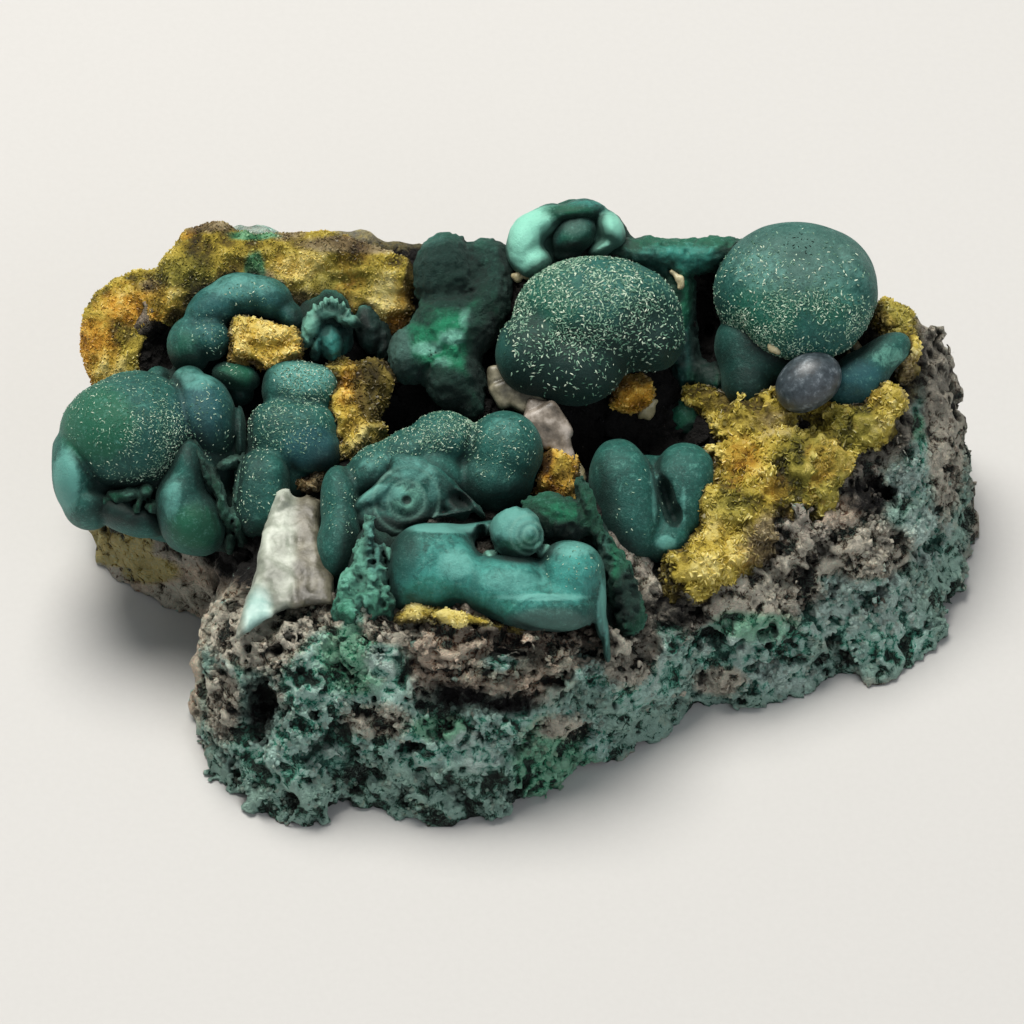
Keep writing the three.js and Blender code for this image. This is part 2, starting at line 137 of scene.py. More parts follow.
# The bead and the grey crystals. rough and size are the depth and size of their unevenness, and olive
# how strongly their brown tint covers them
STONES = {
    "bead": {
        "node": "dark_bead", "slot": "dark_bead", "power": 2, "rough": 0.12, "size": 3, "olive": 0,
        "lobes": [(31.6, 26.3, 13.2, 3.8, 3, 3, 35)],
    },
    "quartz_back": {
        "node": "quartz_upper", "slot": "quartz", "power": 6, "rough": 0.2, "size": 2.6, "olive": 0.8,
        "lobes": [
            (-0.4, 25.4, 10.6, 2.2, 1.5, 2, 24), (1.8, 23.8, 10.9, 2.7, 1.2, 2.1, -28),
            (-1.8, 26.6, 10.2, 1.2, 1.7, 1.8, 10),
        ],
    },
    "quartz_front": {
        "node": "quartz_lower", "slot": "quartz", "power": 6, "rough": 0.2, "size": 2.4, "olive": 0,
        "lobes": [
            (3.5, 21.6, 12.9, 2, 2.4, 2.1, 30), (5, 19, 13.1, 1.3, 2.2, 1.9, 18),
            (2.2, 23.2, 12.4, 1.2, 1.3, 1.7, -14),
        ],
    },
}

# The two finishes of malachite: its depths, its body, the tips of its needles, how coarse and bent the
# needles are, how strongly they show, its bump and its roughness
VELVETS = {
    "velvet": {
        "name": "velvety_malachite", "deep": 0x06332E, "middle": 0x0F544C, "tips": 0x36827A,
        "needle": 0.22, "warp": 0, "felted": 0.25, "strength": 0.7, "depth": 0.14, "roughness": 0.58,
    },
    "fibrous": {
        "name": "fibrous_malachite", "deep": 0x062C22, "middle": 0x0E4C3C, "tips": 0x46907A,
        "needle": 0.35, "warp": 1.2, "felted": 0.5, "strength": 0.9, "depth": 0.35, "roughness": 0.72,
    },
}

# Colour kinds of the malachite, with the most that each covers. dark is mostly painted shade in hollows,
# gaps and on shaded sides, with some darker malachite
TINT_COLOURS = {
    "green": (0x105C40, 0.8), "emerald": (0x1F9268, 0.75), "blue": (0x265A66, 0.6), "mint": (0x90DAC4, 0.92),
    # pale is partly paler malachite and partly a painted highlight on tops and rims
    "aqua": (0x44A298, 0.9), "grey": (0x486A62, 0.8), "pale": (0x68AEA4, 0.75), "dark": (0x062420, 0.88),
}

# Colour kinds of the crusts, from dark to light, with the most that each covers. shade is painted shade on
# shaded sides of the crusts
CRUST_COLOURS = {
    "olive": ([(0.3, 0x2A2A0E), (0.5, 0x6C6A24), (0.7, 0xA49C48)], 0.75),
    "orange": ([(0.3, 0x7A4C0C), (0.5, 0xCC9128), (0.75, 0xEEC964)], 0.8),
    "fresh": ([(0.3, 0x7A6A1C), (0.5, 0xC9B34A), (0.75, 0xF0E49A)], 0.75),
    "stale": ([(0.3, 0x2A2016), (0.5, 0x6E5F46), (0.75, 0xA99C82)], 0.85),
    "shade": ([(0.3, 0x1A1608), (0.55, 0x453C16), (0.8, 0x7C6C2E)], 0.9),
    "green": ([(0.3, 0x0C3A26), (0.5, 0x1F6B48), (0.75, 0x6FB08A)], 0.9),
}

# Films on the gossan, from its pits to its crests, with the pattern that breaks their edges and how
# sharp these are
FILMS = {
    "rust": ("medium", 2.6, [(0.18, 0x22160F), (0.34, 0x70503C), (0.5, 0xA88A72), (0.7, 0xE0CCB6)]),
    "sage": ("broad", 2.6, [(0.22, 0x0C1E18), (0.4, 0x2A5242), (0.58, 0x568A7A), (0.76, 0xA8CEC0)]),
    "ochre": ("medium", 2.6, [(0.22, 0x1E170A), (0.42, 0x66561E), (0.6, 0x9A8538), (0.8, 0xC8B878)]),
    "teal": ("broad", 3, [(0.22, 0x08281F), (0.38, 0x1C6452), (0.55, 0x3A987E), (0.7, 0x70C2AC),
                          (0.86, 0xC0E8DC)]),
    "emerald": ("medium", 3, [(0.22, 0x05231A), (0.42, 0x136345), (0.62, 0x3FA078), (0.85, 0x92D2B0)]),
    "mint": ("fine", 3, [(0.22, 0x2A6456), (0.36, 0x6FB6A2), (0.55, 0xA2D6C6), (0.8, 0xD4F0E6)]),
    "grains": ("medium", 2.8, [(0.2, 0x18130E), (0.38, 0x5A4E40), (0.55, 0x988C7A), (0.74, 0xDED6C4)]),
}

# The camera: a long lens looks down at 45 degrees onto a point of the specimen in mm
LENS = 295.6
SENSOR = 36
CAMERA_DISTANCE = 0.9
CAMERA_TARGET = (-0.43, -6.15, 23.55)
FLOOR_REACH = 3
LIGHTS_TARGET = (0, 0, 0.015)

# Outline of the flat underside, x and y
FOOT_OUTLINE = [
    (-33.6, -19.3), (-32.6, -23.8), (-27.8, -28.6), (-22.6, -31), (-18, -27.4), (-13, -28.2),
    (-7.1, -31.1), (0.4, -27.7), (7.9, -21.2), (13.3, -18.6), (19.9, -12.6), (29, -12), (33.4, -8.4),
    (40, -8.8), (46.8, -2.2), (49.8, 8), (51, 18), (47.5, 26), (33, 30), (10, 29.5), (-12, 30.5),
    (-30, 31), (-42, 27), (-47.5, 18), (-45.5, 9.5), (-41.5, 5), (-36, 1.5), (-31.8, -2), (-33.2, -6),
    (-34.4, -11),
]

# Outline of the display face at the rim, x and y
RIM_OUTLINE = [
    (-32.5, -16), (-31, -20.5), (-24, -22.5), (-16, -22.8), (-7, -25), (2, -24.4), (9, -20.5), (14, -16.5),
    (20.5, -11), (28, -7), (35, -1.5), (41.5, 6.5), (45, 14.5), (45.5, 22), (39, 27), (25, 28), (5, 28.5),
    (-15, 29.5), (-30, 30), (-41, 26), (-46.5, 19), (-46, 11), (-40.5, 5), (-34.5, 0), (-32.4, -6),
]

# Spot heights of the gossan on the display side: x, y, height
SPOT_HEIGHTS = [
    (-29, -20, 18), (-24, -20, 18.5), (-16, -20, 21), (-7, -22, 21.5), (1, -22, 21), (7, -19, 18),
    (12, -15, 15), (17, -11, 15), (24, -6, 17), (31, -1, 19), (36, 6, 21), (39, 13, 23), (42, 21, 23),
    (-8, -15, 21), (0, -13, 23), (5, -8, 22.5), (-11, -6, 22), (-19, -9, 20), (-8, 2, 23.5),
    (-14, 0, 22.5), (-2, 1, 21.5), (8, -2, 20), (-24, -12, 17.5), (-24, -3, 18.5), (-28, -1, 17),
    (-34, -4, 12), (-38, 3, 13), (-41, 7, 16), (-44, 13, 17), (-39, 15, 19), (-45, 19, 23), (-40, 23, 27),
    (-35, 16, 24.5), (-29, 20, 28), (-25, 19, 26.5), (-27, 16, 25.5), (-30, 13, 22.5), (-23, 11, 23.5),
    (-24, 6, 20), (-37, 27, 31), (-30, 28.5, 34), (-18, 28, 33.5), (-12, 27, 32), (-19, 18, 25),
    (-14, 18, 21), (-17, 10, 21.5), (-12, 10, 17), (-7, 23, 30), (-7, 16, 25.5), (-11, 15, 24),
    (-6.5, 12, 22), (2, 24, 32), (7, 27, 34), (10, 25.5, 33), (9, 16, 25), (8, 7, 17), (14, 6, 17),
    (4, 5, 21), (19, 25, 30.5), (19.4, 22, 26.5), (21, 16, 21), (31, 20, 25), (25, 14, 22), (31, 11, 23),
    (38, 14, 23.5), (36, 24, 26), (27, 27, 30), (12, -1, 16.5), (18, 3, 19), (20, 0, 17), (17, -5, 15.5),
    (23, 6, 20),
]

# Pits and open ledges in the gossan, as lobes that are cut out of it
ROCK_HOLLOWS = [
    (-27.2, -8.9, 25, 1.7, 3.4, 3.6, 0), (-6, -7.1, 30.4, 2.8, 1.3, 3, 0),
    (-0.8, -8.2, 30.2, 3.2, 1.2, 3.2, 0), (15.5, 1.4, 21, 3, 1.8, 3, 0),
    (38.6, 14.5, 8.6, 2.6, 1.6, 1.8, 0), (-25, 4, 12, 3, 4, 3, 0), (-39.2, 29.4, 7, 2.4, 3, 4, 0),
    (20.8, 31.8, 4.8, 1.3, 4.4, 4.2, 0),
]

# Stretches of the gossan that are worn smoother: middle across and up the face, half sizes, how much
# smoother, and how far they stand out
CALM_ZONES = [
    (-41, 4, 10, 7, 0.65, 0), (-24, 43, 26, 5, 0.94, 0.4), (15, -8, 3.4, 2.8, 0.6, 0),
    (46, 26, 6, 13, 0.25, 1.4),
]

# The brown ledge at the front, which lies in thin flat layers: middle across and up, half sizes
LAYERED_ZONE = ((2, -2.4), (12, 4))

# Stains on the gossan's visible sides, by kind. Its dark zones are painted shade in pits and hollows and
# under the growths
ROCK_STAINS = {
    "sage": [
        (-14, -15, 24, 7, 1), (14, -9, 10, 5, 0.8), (26, -5, 12, 4, 0.7), (41, 0, 8, 6, 0.8),
        (45, 12, 5, 14, 0.7), (-30, -6, 4, 8, 0.6), (3, -3.8, 10, 2, 0.22),
    ],
    "teal": [
        (-18, -6, 6, 7, 1), (-25, -13, 6, 4, 0.5), (-30, -4, 2, 2.4, 0.5), (-9, -12, 6, 3, 0.6),
        (-2, -11, 6, 2, 0.8), (5, -14, 5, 5, 0.8), (13, -5, 4, 4, 0.6), (25, -2.5, 6, 3, 0.8),
        (16, -3, 2.5, 4, 0.7), (36, 4, 6, 3, 0.8), (44.6, 19, 3, 4.6, 0.9), (40, -1, 5, 3, 0.7),
        (38, 5, 4, 1.6, 0.6), (-1.6, -3.6, 1.6, 0.8, 0.8), (9, -5, 2.4, 1.4, 0.8),
        (-25.6, 43.6, 3.4, 0.9, 0.8), (-29, 43.4, 2.6, 0.7, 0.9),
    ],
    "mint": [
        (-14, -3.5, 2, 2, 0.5), (34, 0.8, 3, 2.2, 1), (44.5, 9.6, 2.4, 3, 0.9), (42.4, 15.8, 2.2, 2, 0.6),
        (27, -5.5, 6, 2, 0.5), (15, -4, 1.4, 3, 0.7), (41, 1, 3, 2, 0.6), (-28, -2.4, 2, 1, 0.5),
        (-5, -12, 1.6, 1, 0.7), (37, 2, 2, 1.2, 0.7), (46.2, 21.4, 1.6, 2.6, 0.7), (45.6, 10.6, 2, 1.8, 1),
        (22.6, -2.4, 2.4, 1.2, 0.8), (38, 3.4, 6, 3, 0.45), (-20.6, -14, 3, 1.6, 0.5),
        (-3.6, -14.4, 2, 1.2, 0.7), (-30.6, -3.6, 1.4, 2, 0.6),
    ],
    "emerald": [
        (3.5, -14.5, 3.5, 4.5, 0.8), (7.5, -17, 3, 3, 0.6), (-17, -3, 4, 4, 0.6),
        (43.5, 21.5, 1.5, 1.3, 0.8), (-8, -10.6, 3, 1.4, 0.7), (26, 0, 5, 2, 0.4),
        (-28, 39.4, 1, 1.4, 0.9),
    ],
    "grains": [
        (-27.6, -0.6, 5, 3.6, 1), (-22.5, 2, 5, 2.2, 1), (-13, 0.4, 3, 2, 0.9), (-31.4, -8, 2, 4, 0.6),
        (-36.4, 3, 4.6, 1.4, 0.7), (27, 4, 6, 2.4, 0.8), (38, 8, 5, 3, 0.7), (47, 24, 2.4, 12, 0.8),
        (41, 22, 2, 4, 0.7), (12, -2, 3, 4, 1), (16, 3, 4, 2.4, 1), (22, -6, 3, 1.6, 0.6),
        (5, -10.6, 3, 1.4, 0.5), (40, 21, 3, 3, 0.6), (-15, -10, 4, 2, 0.5), (31, 7, 4, 2, 0.7),
        (14, 23, 3, 1.6, 0.6), (-32, 43, 12, 2, 0.2), (-12, 42.6, 8, 1.4, 0.25),
    ],
    # dark: painted shade in pits and hollows and under the growths
    "dark": [
        (-6, -7.2, 3, 1.3, 0.8), (-0.8, -8.2, 3.4, 1.1, 0.75), (-27.2, -8.9, 1.6, 3.2, 0.7),
        (16, 1.6, 4, 2, 0.6), (38, 14, 3, 2, 0.7), (20, 4, 3, 2, 0.4), (-29, 8, 5, 4, 0.9),
        (-39, 29.6, 2.8, 4, 0.9), (20.8, 33, 3, 7, 1), (44, 29.4, 1.3, 4, 0.55),
    ],
    "rust": [
        (0, -2, 13, 4.4, 1), (9, -4, 6, 3, 0.7), (34.8, 12.4, 2.4, 1.6, 1), (-33.6, -9, 2.6, 6, 0.9),
        (-35, 2, 9, 4, 1), (-14, 42, 9, 3, 1), (32, 6, 4, 3, 0.5), (-34, 42, 8, 3, 0.7),
        (12, 21.5, 6, 2.2, 0.9), (-40, 33, 4, 5, 0.8), (43, 26, 1.6, 5, 0.9),
    ],
    "ochre": [
        (-44, 8.6, 4, 2, 1), (-40, 6, 3, 1.4, 0.9), (-31, -0.4, 1.6, 2, 0.6), (-4, 0.8, 8, 0.6, 0.8),
        (40.4, 25.4, 3, 4, 0.7), (41, 32, 3, 4, 0.8), (-30, 33, 10, 6, 0.5), (-24, 42, 20, 2, 0.7),
    ],
}

# Malachite growths, by piece. node is the CAD node that a piece stands for. blend is how softly lobes
# run together, power above 2 squares them, and hollows are lobes cut out of them. fibre is the depth
# of fibrous relief. rings are radii about a point of the face with the depth of a groove, or below 0
# of a ridge. tints are colour zones by kind, with painted shade and painted highlight among them. specks say
# where pale crystals dust a growth, with how
# many per square mm for a strength, and speck_sizes their smallest and largest length.
MALACHITE = {
    "left_dome": {
        "node": "malachite_left_dome", "blend": 0.22,
        "lobes": [
            (-41.9, 20.8, 12.6, 7.4, 6.2, 7.9, 0), (-41, 22.4, 12, 6.4, 5.2, 7, 0),
            (-47.6, 16.6, 11.8, 2.7, 5, 6.4, 6), (-46.2, 13.4, 11.6, 2.9, 3, 6, -20),
            (-33.6, 22.6, 12.2, 3.5, 4.8, 5, 14), (-35.4, 26.2, 11.4, 2.1, 2.1, 3.2, 0),
            (-33.2, 15.9, 12.6, 1.3, 3.4, 4.2, 12), (-29.8, 20.4, 11, 0.7, 3.6, 3.4, 2),
            (-41.8, 12.1, 12.2, 4.4, 2.1, 5, -20), (-38.7, 27, 9, 1.3, 1.1, 2.4, 0),
            (-37, 17, 9.4, 8, 8, 6.6, 0),
        ],
        "hollows": [(-42.8, 14.5, 20, 4, 1.3, 5.6, -6), (-39.8, 13.6, 20, 2.4, 1.7, 5.8, 10)],
        "tints": {
            "green": [(-45, 21.8, 4, 4, 0.9)],
            # the first pale zone is a painted highlight along the dome's left rim
            "pale": [(-48.4, 15.6, 1.4, 3.2, 0.9), (-36, 27, 1.6, 1, 0.3), (-34.4, 26.4, 2, 1, 0.5)],
            "dark": [(-41.5, 13, 4.4, 2.4, 0.7)],
            "blue": [(-34, 23, 3, 4, 0.6)],
        },
        "specks": [
            (-38.6, 20, 3.4, 4.4, 3.2), (-42, 22.6, 6, 4.5, 0.8), (-33.2, 21.6, 2.4, 4, 0.6),
            (-40.5, 16.8, 5, 1.4, 1),
        ],
    },
    "dome_crumbs": {
        "blend": 0.3, "fibre": 0.34,
        "lobes": [
            (-41.6, 14.2, 15.9, 1.5, 0.8, 1.8, 12), (-43, 13.8, 15.4, 1, 0.6, 1.6, -20),
            (-40, 14.6, 15.9, 0.9, 0.8, 1.7, 30), (-40.8, 12.9, 16.2, 0.35, 1.3, 1.4, -24),
            (-39.2, 12.8, 15.6, 0.9, 0.7, 1.6, 0), (-44.4, 13.6, 15, 0.7, 0.5, 1.4, 10),
        ],
        "tints": {"green": [(-41.4, 13.8, 3, 1.6, 0.9)], "mint": [(-41, 14.4, 1.4, 0.5, 0.4)]},
    },
    "dome_teardrop": {
        "blend": 0.9,
        "lobes": [
            (-35, 11.4, 14.6, 3.4, 3.7, 5, 14), (-36.2, 13.8, 15, 2.7, 3.6, 4.4, -10),
            (-35.3, 17, 15.2, 1.9, 3.2, 3.6, -4), (-33.6, 10, 14.4, 2, 2.2, 4, 0),
        ],
        "tints": {"green": [(-34.4, 10.6, 3, 2.6, 0.7)], "pale": [(-37, 14, 1.1, 2.4, 0.45)]},
    },
    "dome_fold": {
        "blend": 0.2, "fibre": 0.22,
        "lobes": [
            (-33.6, 17.2, 15.6, 0.45, 3, 2.8, 22), (-31.9, 14, 15.2, 0.5, 3.6, 3, 16),
            (-30.9, 17.6, 14.4, 1.6, 0.5, 2.6, 20), (-29.8, 15.2, 14.2, 0.5, 3.6, 3.2, -6),
            (-29.9, 11.2, 14, 0.45, 2.6, 3, 10), (-30.9, 9.2, 13.6, 0.4, 1.4, 2.6, 0),
        ],
        "tints": {"mint": [(-30.4, 15.4, 1.6, 4, 0.36)], "green": [(-31.6, 12, 2.4, 5, 0.6)]},
    },
    "left_arch": {
        "node": "malachite_left_arch", "blend": 0.4,
        "lobes": [
            (-35.4, 30.2, 7.4, 2.4, 3.3, 4, 0), (-33.1, 31, 8.6, 2.3, 2.4, 3.2, 0),
            (-32.8, 34.4, 6.9, 3.4, 2.4, 3.6, 34), (-29.8, 36, 6.8, 3.5, 2.3, 3.6, 4),
            (-27, 35.6, 6.6, 2.8, 2.2, 3.4, -24), (-24.6, 33.6, 6.2, 2.6, 1.5, 3, -44),
        ],
        "tints": {
            # pale: a painted highlight along the top of the arch
            "pale": [(-30, 36.8, 4, 1.4, 0.4)],
            "green": [(-35.8, 29.6, 1.6, 2.4, 0.4)],
            "blue": [(-30, 34, 6, 4, 0.4)],
        },
        "specks": [(-33, 31.4, 2, 2, 0.9), (-29.2, 36, 2.6, 1.4, 0.8)],
    },
    "pocket_lump": {
        "node": "malachite_pocket_lump", "blend": 0.3,
        "lobes": [(-30.4, 27, 9, 2.8, 1.7, 3.4, -14), (-30, 25.2, 7.4, 1.6, 1.6, 3.2, 0)],
        "tints": {"green": [(-30.4, 27, 2.6, 1.6, 0.7)]}, "specks": [(-31, 27.4, 1.2, 1, 0.5)],
    },
    "twin_lump": {
        "node": "malachite_twin_lump", "blend": 0.4, "power": 2.7,
        "lobes": [
            (-23.4, 25.7, 10, 4.1, 3.1, 3.9, -6), (-24, 20.6, 11.4, 5, 3.9, 5.3, 0),
            (-22, 18.9, 12.4, 3.2, 2.4, 3.8, 0), (-27.4, 14.3, 13.9, 3, 4.8, 4.8, -4),
            (-25.4, 18, 10, 3.8, 5, 4.6, 0),
        ],
        "tints": {"pale": [(-22.8, 27, 3.4, 1.8, 0.6)], "blue": [(-21.8, 19, 3, 2.4, 0.9)]},
        "specks": [(-22.8, 26.2, 3.2, 2.2, 3.4), (-24.6, 21.8, 4, 3, 1.8), (-28, 15, 2.2, 4, 0.8)],
    },
    "banded_curl": {
        "node": "malachite_banded_curl", "blend": 0.1, "fibre": 0.2,
        "lobes": [
            (-22.2, 33.5, 9.4, 0.4, 0.8, 1.5, 40), (-21.6, 34.2, 9.6, 0.34, 0.8, 1.6, 24),
            (-21.1, 34.6, 9.7, 0.3, 0.8, 1.6, 12), (-20.6, 34.8, 9.8, 0.34, 0.8, 1.6, 6),
            (-20, 34.9, 9.8, 0.3, 0.8, 1.6, 0), (-19.5, 34.8, 9.7, 0.34, 0.8, 1.6, -8),
            (-18.9, 34.4, 9.6, 0.34, 0.8, 1.6, -20), (-18.3, 33.8, 9.4, 0.4, 0.8, 1.5, -34),
            (-20.3, 34, 9, 2.2, 1, 2, 4), (-22, 32.7, 8.8, 1.2, 2.2, 2.6, -26),
            (-18.4, 33.2, 8.6, 1.8, 0.8, 2.2, -20), (-22.6, 31.4, 8.4, 0.9, 1.5, 2.2, -12),
            (-20.2, 30.8, 7.9, 1.5, 2.3, 2.8, 8), (-21.6, 30.4, 8, 0.8, 1.8, 2.4, -12),
            (-16, 32.3, 5, 1.7, 2.8, 2.2, 12), (-14.5, 31, 4.4, 1.1, 2.7, 2.2, 0),
            (-19.8, 31.2, 4.4, 2.2, 2.4, 4, 0),
        ],
        "tints": {
            "mint": [
                (-20.2, 34.8, 3, 1.4, 1), (-22.3, 33, 1, 1.8, 0.8), (-18.6, 33.5, 1.8, 0.9, 0.7),
                (-22.4, 31.6, 1, 1.6, 0.6),
            ],
            "dark": [(-15.6, 31.4, 2, 3.4, 1)],
            "aqua": [(-20.4, 30.8, 1.4, 1.8, 0.7)],
        },
    },
    "tall_column": {
        "node": "malachite_tall_column", "slot": "green_malachite", "blend": 1.2, "fibre": 0.21,
        "lobes": [
            (-7.7, 38.1, 5.8, 3.5, 4.5, 4.4, 0), (-2.9, 38.3, 4.8, 3.1, 3.8, 3.6, 0),
            (-6.9, 32.1, 7.9, 4.8, 4, 4.6, 8), (-3.3, 34.6, 6.6, 2.5, 4.2, 4, -14),
            (-11.4, 29.2, 8.1, 2.5, 3.2, 4, 0), (-6.7, 27, 8.6, 3.3, 3.8, 4, 0),
            (-4.6, 24.4, 8.4, 1.5, 2.6, 3.2, 0),
        ],
        "tints": {
            "dark": [
                (-7.2, 38, 4.4, 4, 0.9), (-3, 38, 2.6, 4, 0.6), (-3.6, 30, 2, 6, 0.8),
                (-11.6, 27.4, 2.6, 1.8, 0.6), (-8.6, 25.2, 4, 3, 0.9), (-9.8, 33.6, 1.6, 1.4, 0.6),
            ],
            "pale": [(-9, 41.6, 1.6, 1, 0.3)],
            "mint": [
                (-9.6, 30, 1.7, 0.8, 0.5), (-6.8, 31.2, 1.5, 0.9, 0.5), (-5.4, 33.2, 0.8, 1.3, 0.4),
                (-7.8, 28.6, 1.3, 0.7, 0.36),
            ],
            "emerald": [(-7.8, 31, 3.6, 3.6, 0.72), (-4.4, 33, 1.4, 2.4, 0.5)],
            "green": [(-6, 31, 5, 7, 1)],
            "grey": [(-12.6, 29.4, 1.4, 3, 0.7)],
        },
    },
    "top_crest": {
        "node": "malachite_top_crest", "slot": "pale_malachite", "blend": 0.6, "fibre": 0.05,
        "lobes": [
            (1, 41.5, 6.4, 2, 3.2, 3.4, -14), (3, 43.8, 6.2, 2.5, 1.6, 3, 40),
            (2, 39.4, 6.8, 2, 1.9, 3.2, -20), (6.4, 44.9, 5.8, 3.3, 1, 2.8, 6),
            (7.2, 45.3, 5.6, 1.5, 1, 2.6, 0), (10.4, 43, 5.9, 1.4, 2.2, 2.9, 26),
            (9.4, 41, 5.7, 2, 0.9, 2.6, 26), (5.6, 41, 3.6, 3.6, 2.6, 2.6, 0),
            (8.8, 42.8, 4, 2.4, 2.2, 2, 0),
        ],
        "tints": {
            "mint": [(1.2, 41.4, 3.2, 4.2, 1), (10.2, 42.2, 2, 2.5, 1), (2.6, 43.4, 1.6, 0.9, 0.4)],
            "green": [(5.6, 44.6, 3.4, 1.3, 0.6)],
            "aqua": [(7.6, 45.8, 2.4, 0.5, 0.25)],
            "dark": [(5.8, 40.6, 2, 1.6, 0.5)],
        },
    },
    "crest_ball": {
        "blend": 0.3, "fibre": 0.05,
        "lobes": [(6.3, 42.3, 6.8, 2.6, 2, 2.6, 34), (5.8, 40.4, 5.8, 1.8, 1.2, 2.4, 0)],
        "tints": {
            "green": [(6.9, 42, 2.4, 2, 0.4)],
            "dark": [(6, 40.6, 2.4, 1, 0.6)],
            "grey": [(6.6, 43.2, 1.6, 1, 0.5)],
        },
    },
    "right_wall": {
        "blend": 1.2, "fibre": 0.2,
        "lobes": [
            (15, 40.4, 4, 6, 2, 3.8, -4), (21, 40.4, 3.8, 4.6, 2, 3.6, 6), (18, 38, 3.4, 1.4, 3, 3, 0),
            (15.6, 37.6, 2.6, 3.4, 3, 3, 0), (21.8, 26.6, 4, 2.4, 1.8, 2.6, -20),
            (17.4, 34.4, 3, 2.2, 5.4, 3, 4), (18.4, 29, 2.4, 1.7, 4.4, 2.8, 4),
            (18.5, 22.4, 5, 1.9, 2.3, 2.6, 0),
        ],
        "tints": {
            "green": [(18, 39, 10, 6, 0.6), (21.8, 27, 3, 2, 0.9), (19, 22, 2, 3, 0.8)],
            "aqua": [(18, 39.8, 6, 1.6, 0.4)],
            # dark: a painted shadow in the gap beside the right ball
            "dark": [(20.6, 31, 1.6, 6, 0.9)],
            "emerald": [(17.6, 35.6, 1.6, 4, 0.4)],
        },
    },
    "centre_ball": {
        "node": "malachite_centre_ball", "blend": 0.9, "speck_sizes": (0.26, 0.64),
        "lobes": [
            (8.9, 33.5, 9.6, 9, 6.6, 7.4, 0), (2.2, 29.4, 11.6, 4.4, 4.6, 5.2, 0),
            (6.4, 28.2, 11.6, 5.4, 4.3, 5, 0), (14.7, 31.1, 10.6, 3.5, 3.6, 4.8, 0),
        ],
        "tints": {
            # dark: painted shade over the ball's lower part and sides
            "dark": [(8, 27.2, 9.4, 5.2, 1), (14.6, 31, 4, 5, 0.75), (1, 32, 2.6, 3, 0.6)],
            "green": [(3, 34, 4, 5, 0.4)],
        },
        "specks": [
            (6.4, 35, 8, 5.4, 3), (8.4, 33.6, 9.6, 5.4, 1.6), (7, 28, 7, 3.4, 0.35),
            (1.4, 31, 2.4, 3, 1.6),
        ],
    },
    "right_ball": {
        "node": "malachite_right_ball", "blend": 0.14, "power": 2.1, "speck_sizes": (0.22, 0.55),
        "lobes": [
            (30.4, 36.4, 7.1, 8.8, 7.4, 7.5, 0), (31.2, 35, 11.2, 7.2, 6.3, 4.4, 0),
            (36.4, 37.6, 9, 2.4, 4.2, 5, 26),
        ],
        "tints": {
            "grey": [(31, 39.4, 8, 4, 0.55)],
            "green": [(27, 34, 4, 4, 0.4), (33.6, 35, 3, 3, 0.4)],
            "pale": [(26.4, 38.4, 3, 2.4, 0.25), (35.4, 37, 3, 3, 0.2)],
            "dark": [(30.5, 40, 1.4, 0.7, 0.35)],
        },
        "specks": [(31, 32.6, 8.5, 3.6, 3.4), (29, 37, 8, 5, 0.8), (24.6, 36, 3, 5, 0.8)],
    },
    "ball_pedestal": {
        "blend": 1.6, "power": 2.3,
        "lobes": [
            (26, 30.4, 6.4, 4.4, 3.4, 4.8, -8), (25.4, 26.8, 7, 2.8, 3.4, 4.2, -12),
            (29.2, 28.8, 6.4, 4, 3, 4, 0),
        ],
        "tints": {"dark": [(25.4, 25.6, 4, 3, 0.7), (26, 29, 5, 3, 0.5)]},
    },
    "right_leaf": {
        "node": "malachite_right_leaf", "blend": 1.2,
        "lobes": [(37, 26.6, 9.4, 4.2, 2.8, 2.8, 40), (40, 29.4, 9, 3, 1.8, 2.4, 34)],
        "tints": {
            "mint": [(40.4, 29.2, 2, 1.2, 0.25)],
            "blue": [(37, 26.4, 3, 2.4, 0.8)],
            "dark": [(35.6, 25, 2.4, 1.6, 0.4)],
        },
    },
    "bean_pair": {
        "node": "malachite_bean_pair", "blend": 0.3, "power": 2.3,
        "lobes": [
            (12, 13.3, 13.6, 3.8, 7, 5.3, 12), (17.7, 14.2, 12.6, 3.7, 5.6, 4.8, -12),
            (16, 9.4, 13.2, 3.1, 2.6, 4.2, 24), (14.8, 12.4, 11, 5, 6, 4.6, 0),
            (19.5, 15.6, 12.2, 1.8, 3.4, 4.2, -10),
        ],
        "hollows": [(16.2, 13.8, 17.6, 0.8, 2.7, 3.6, 16), (16.9, 12, 17.2, 0.9, 1.3, 3, 18)],
        "tints": {
            "pale": [
                (16.1, 9, 1, 0.7, 1), (15, 15.8, 0.7, 1, 0.5), (14.9, 13.6, 0.3, 2.4, 0.6),
                (18, 13, 0.3, 2.2, 0.5),
            ],
        },
        "specks": [(14, 13, 3, 4, 0.12)],
    },
    "front_crescent": {
        "node": "malachite_front_crescent", "blend": 0.7,
        "lobes": [
            (-1.3, 18.9, 16.6, 4.2, 4.2, 5.2, 0), (-2.4, 15.8, 16.4, 4.4, 3.9, 5.2, 0),
            (-7.6, 20, 16.3, 3.8, 3.1, 4.5, -6), (-11.6, 18.6, 16.6, 4, 2.5, 4.4, 26),
            (-15.6, 16.6, 17.3, 3.4, 2.6, 4.4, 42), (-18.8, 12.9, 18.4, 2.4, 4.6, 4.4, 4),
            (-18.9, 8.6, 20.8, 2.4, 4.6, 4.2, -4), (-8.5, 16.2, 17.4, 4, 3, 4, -30),
            (-12, 12, 17, 6, 4.4, 4, 0),
        ],
        "tints": {"pale": [(-14.6, 17.6, 2.4, 0.9, 0.35), (-1, 21.6, 2, 1, 0.25)]},
        "specks": [
            (-8, 21, 4.2, 2, 3.6), (-1.8, 19.2, 3.6, 3.2, 0.9), (-14, 19, 3.6, 1.6, 1.4),
            (-18.6, 14, 2, 4, 0.35),
        ],
    },
    "banded_eye": {
        "blend": 0.22, "power": 2.8,
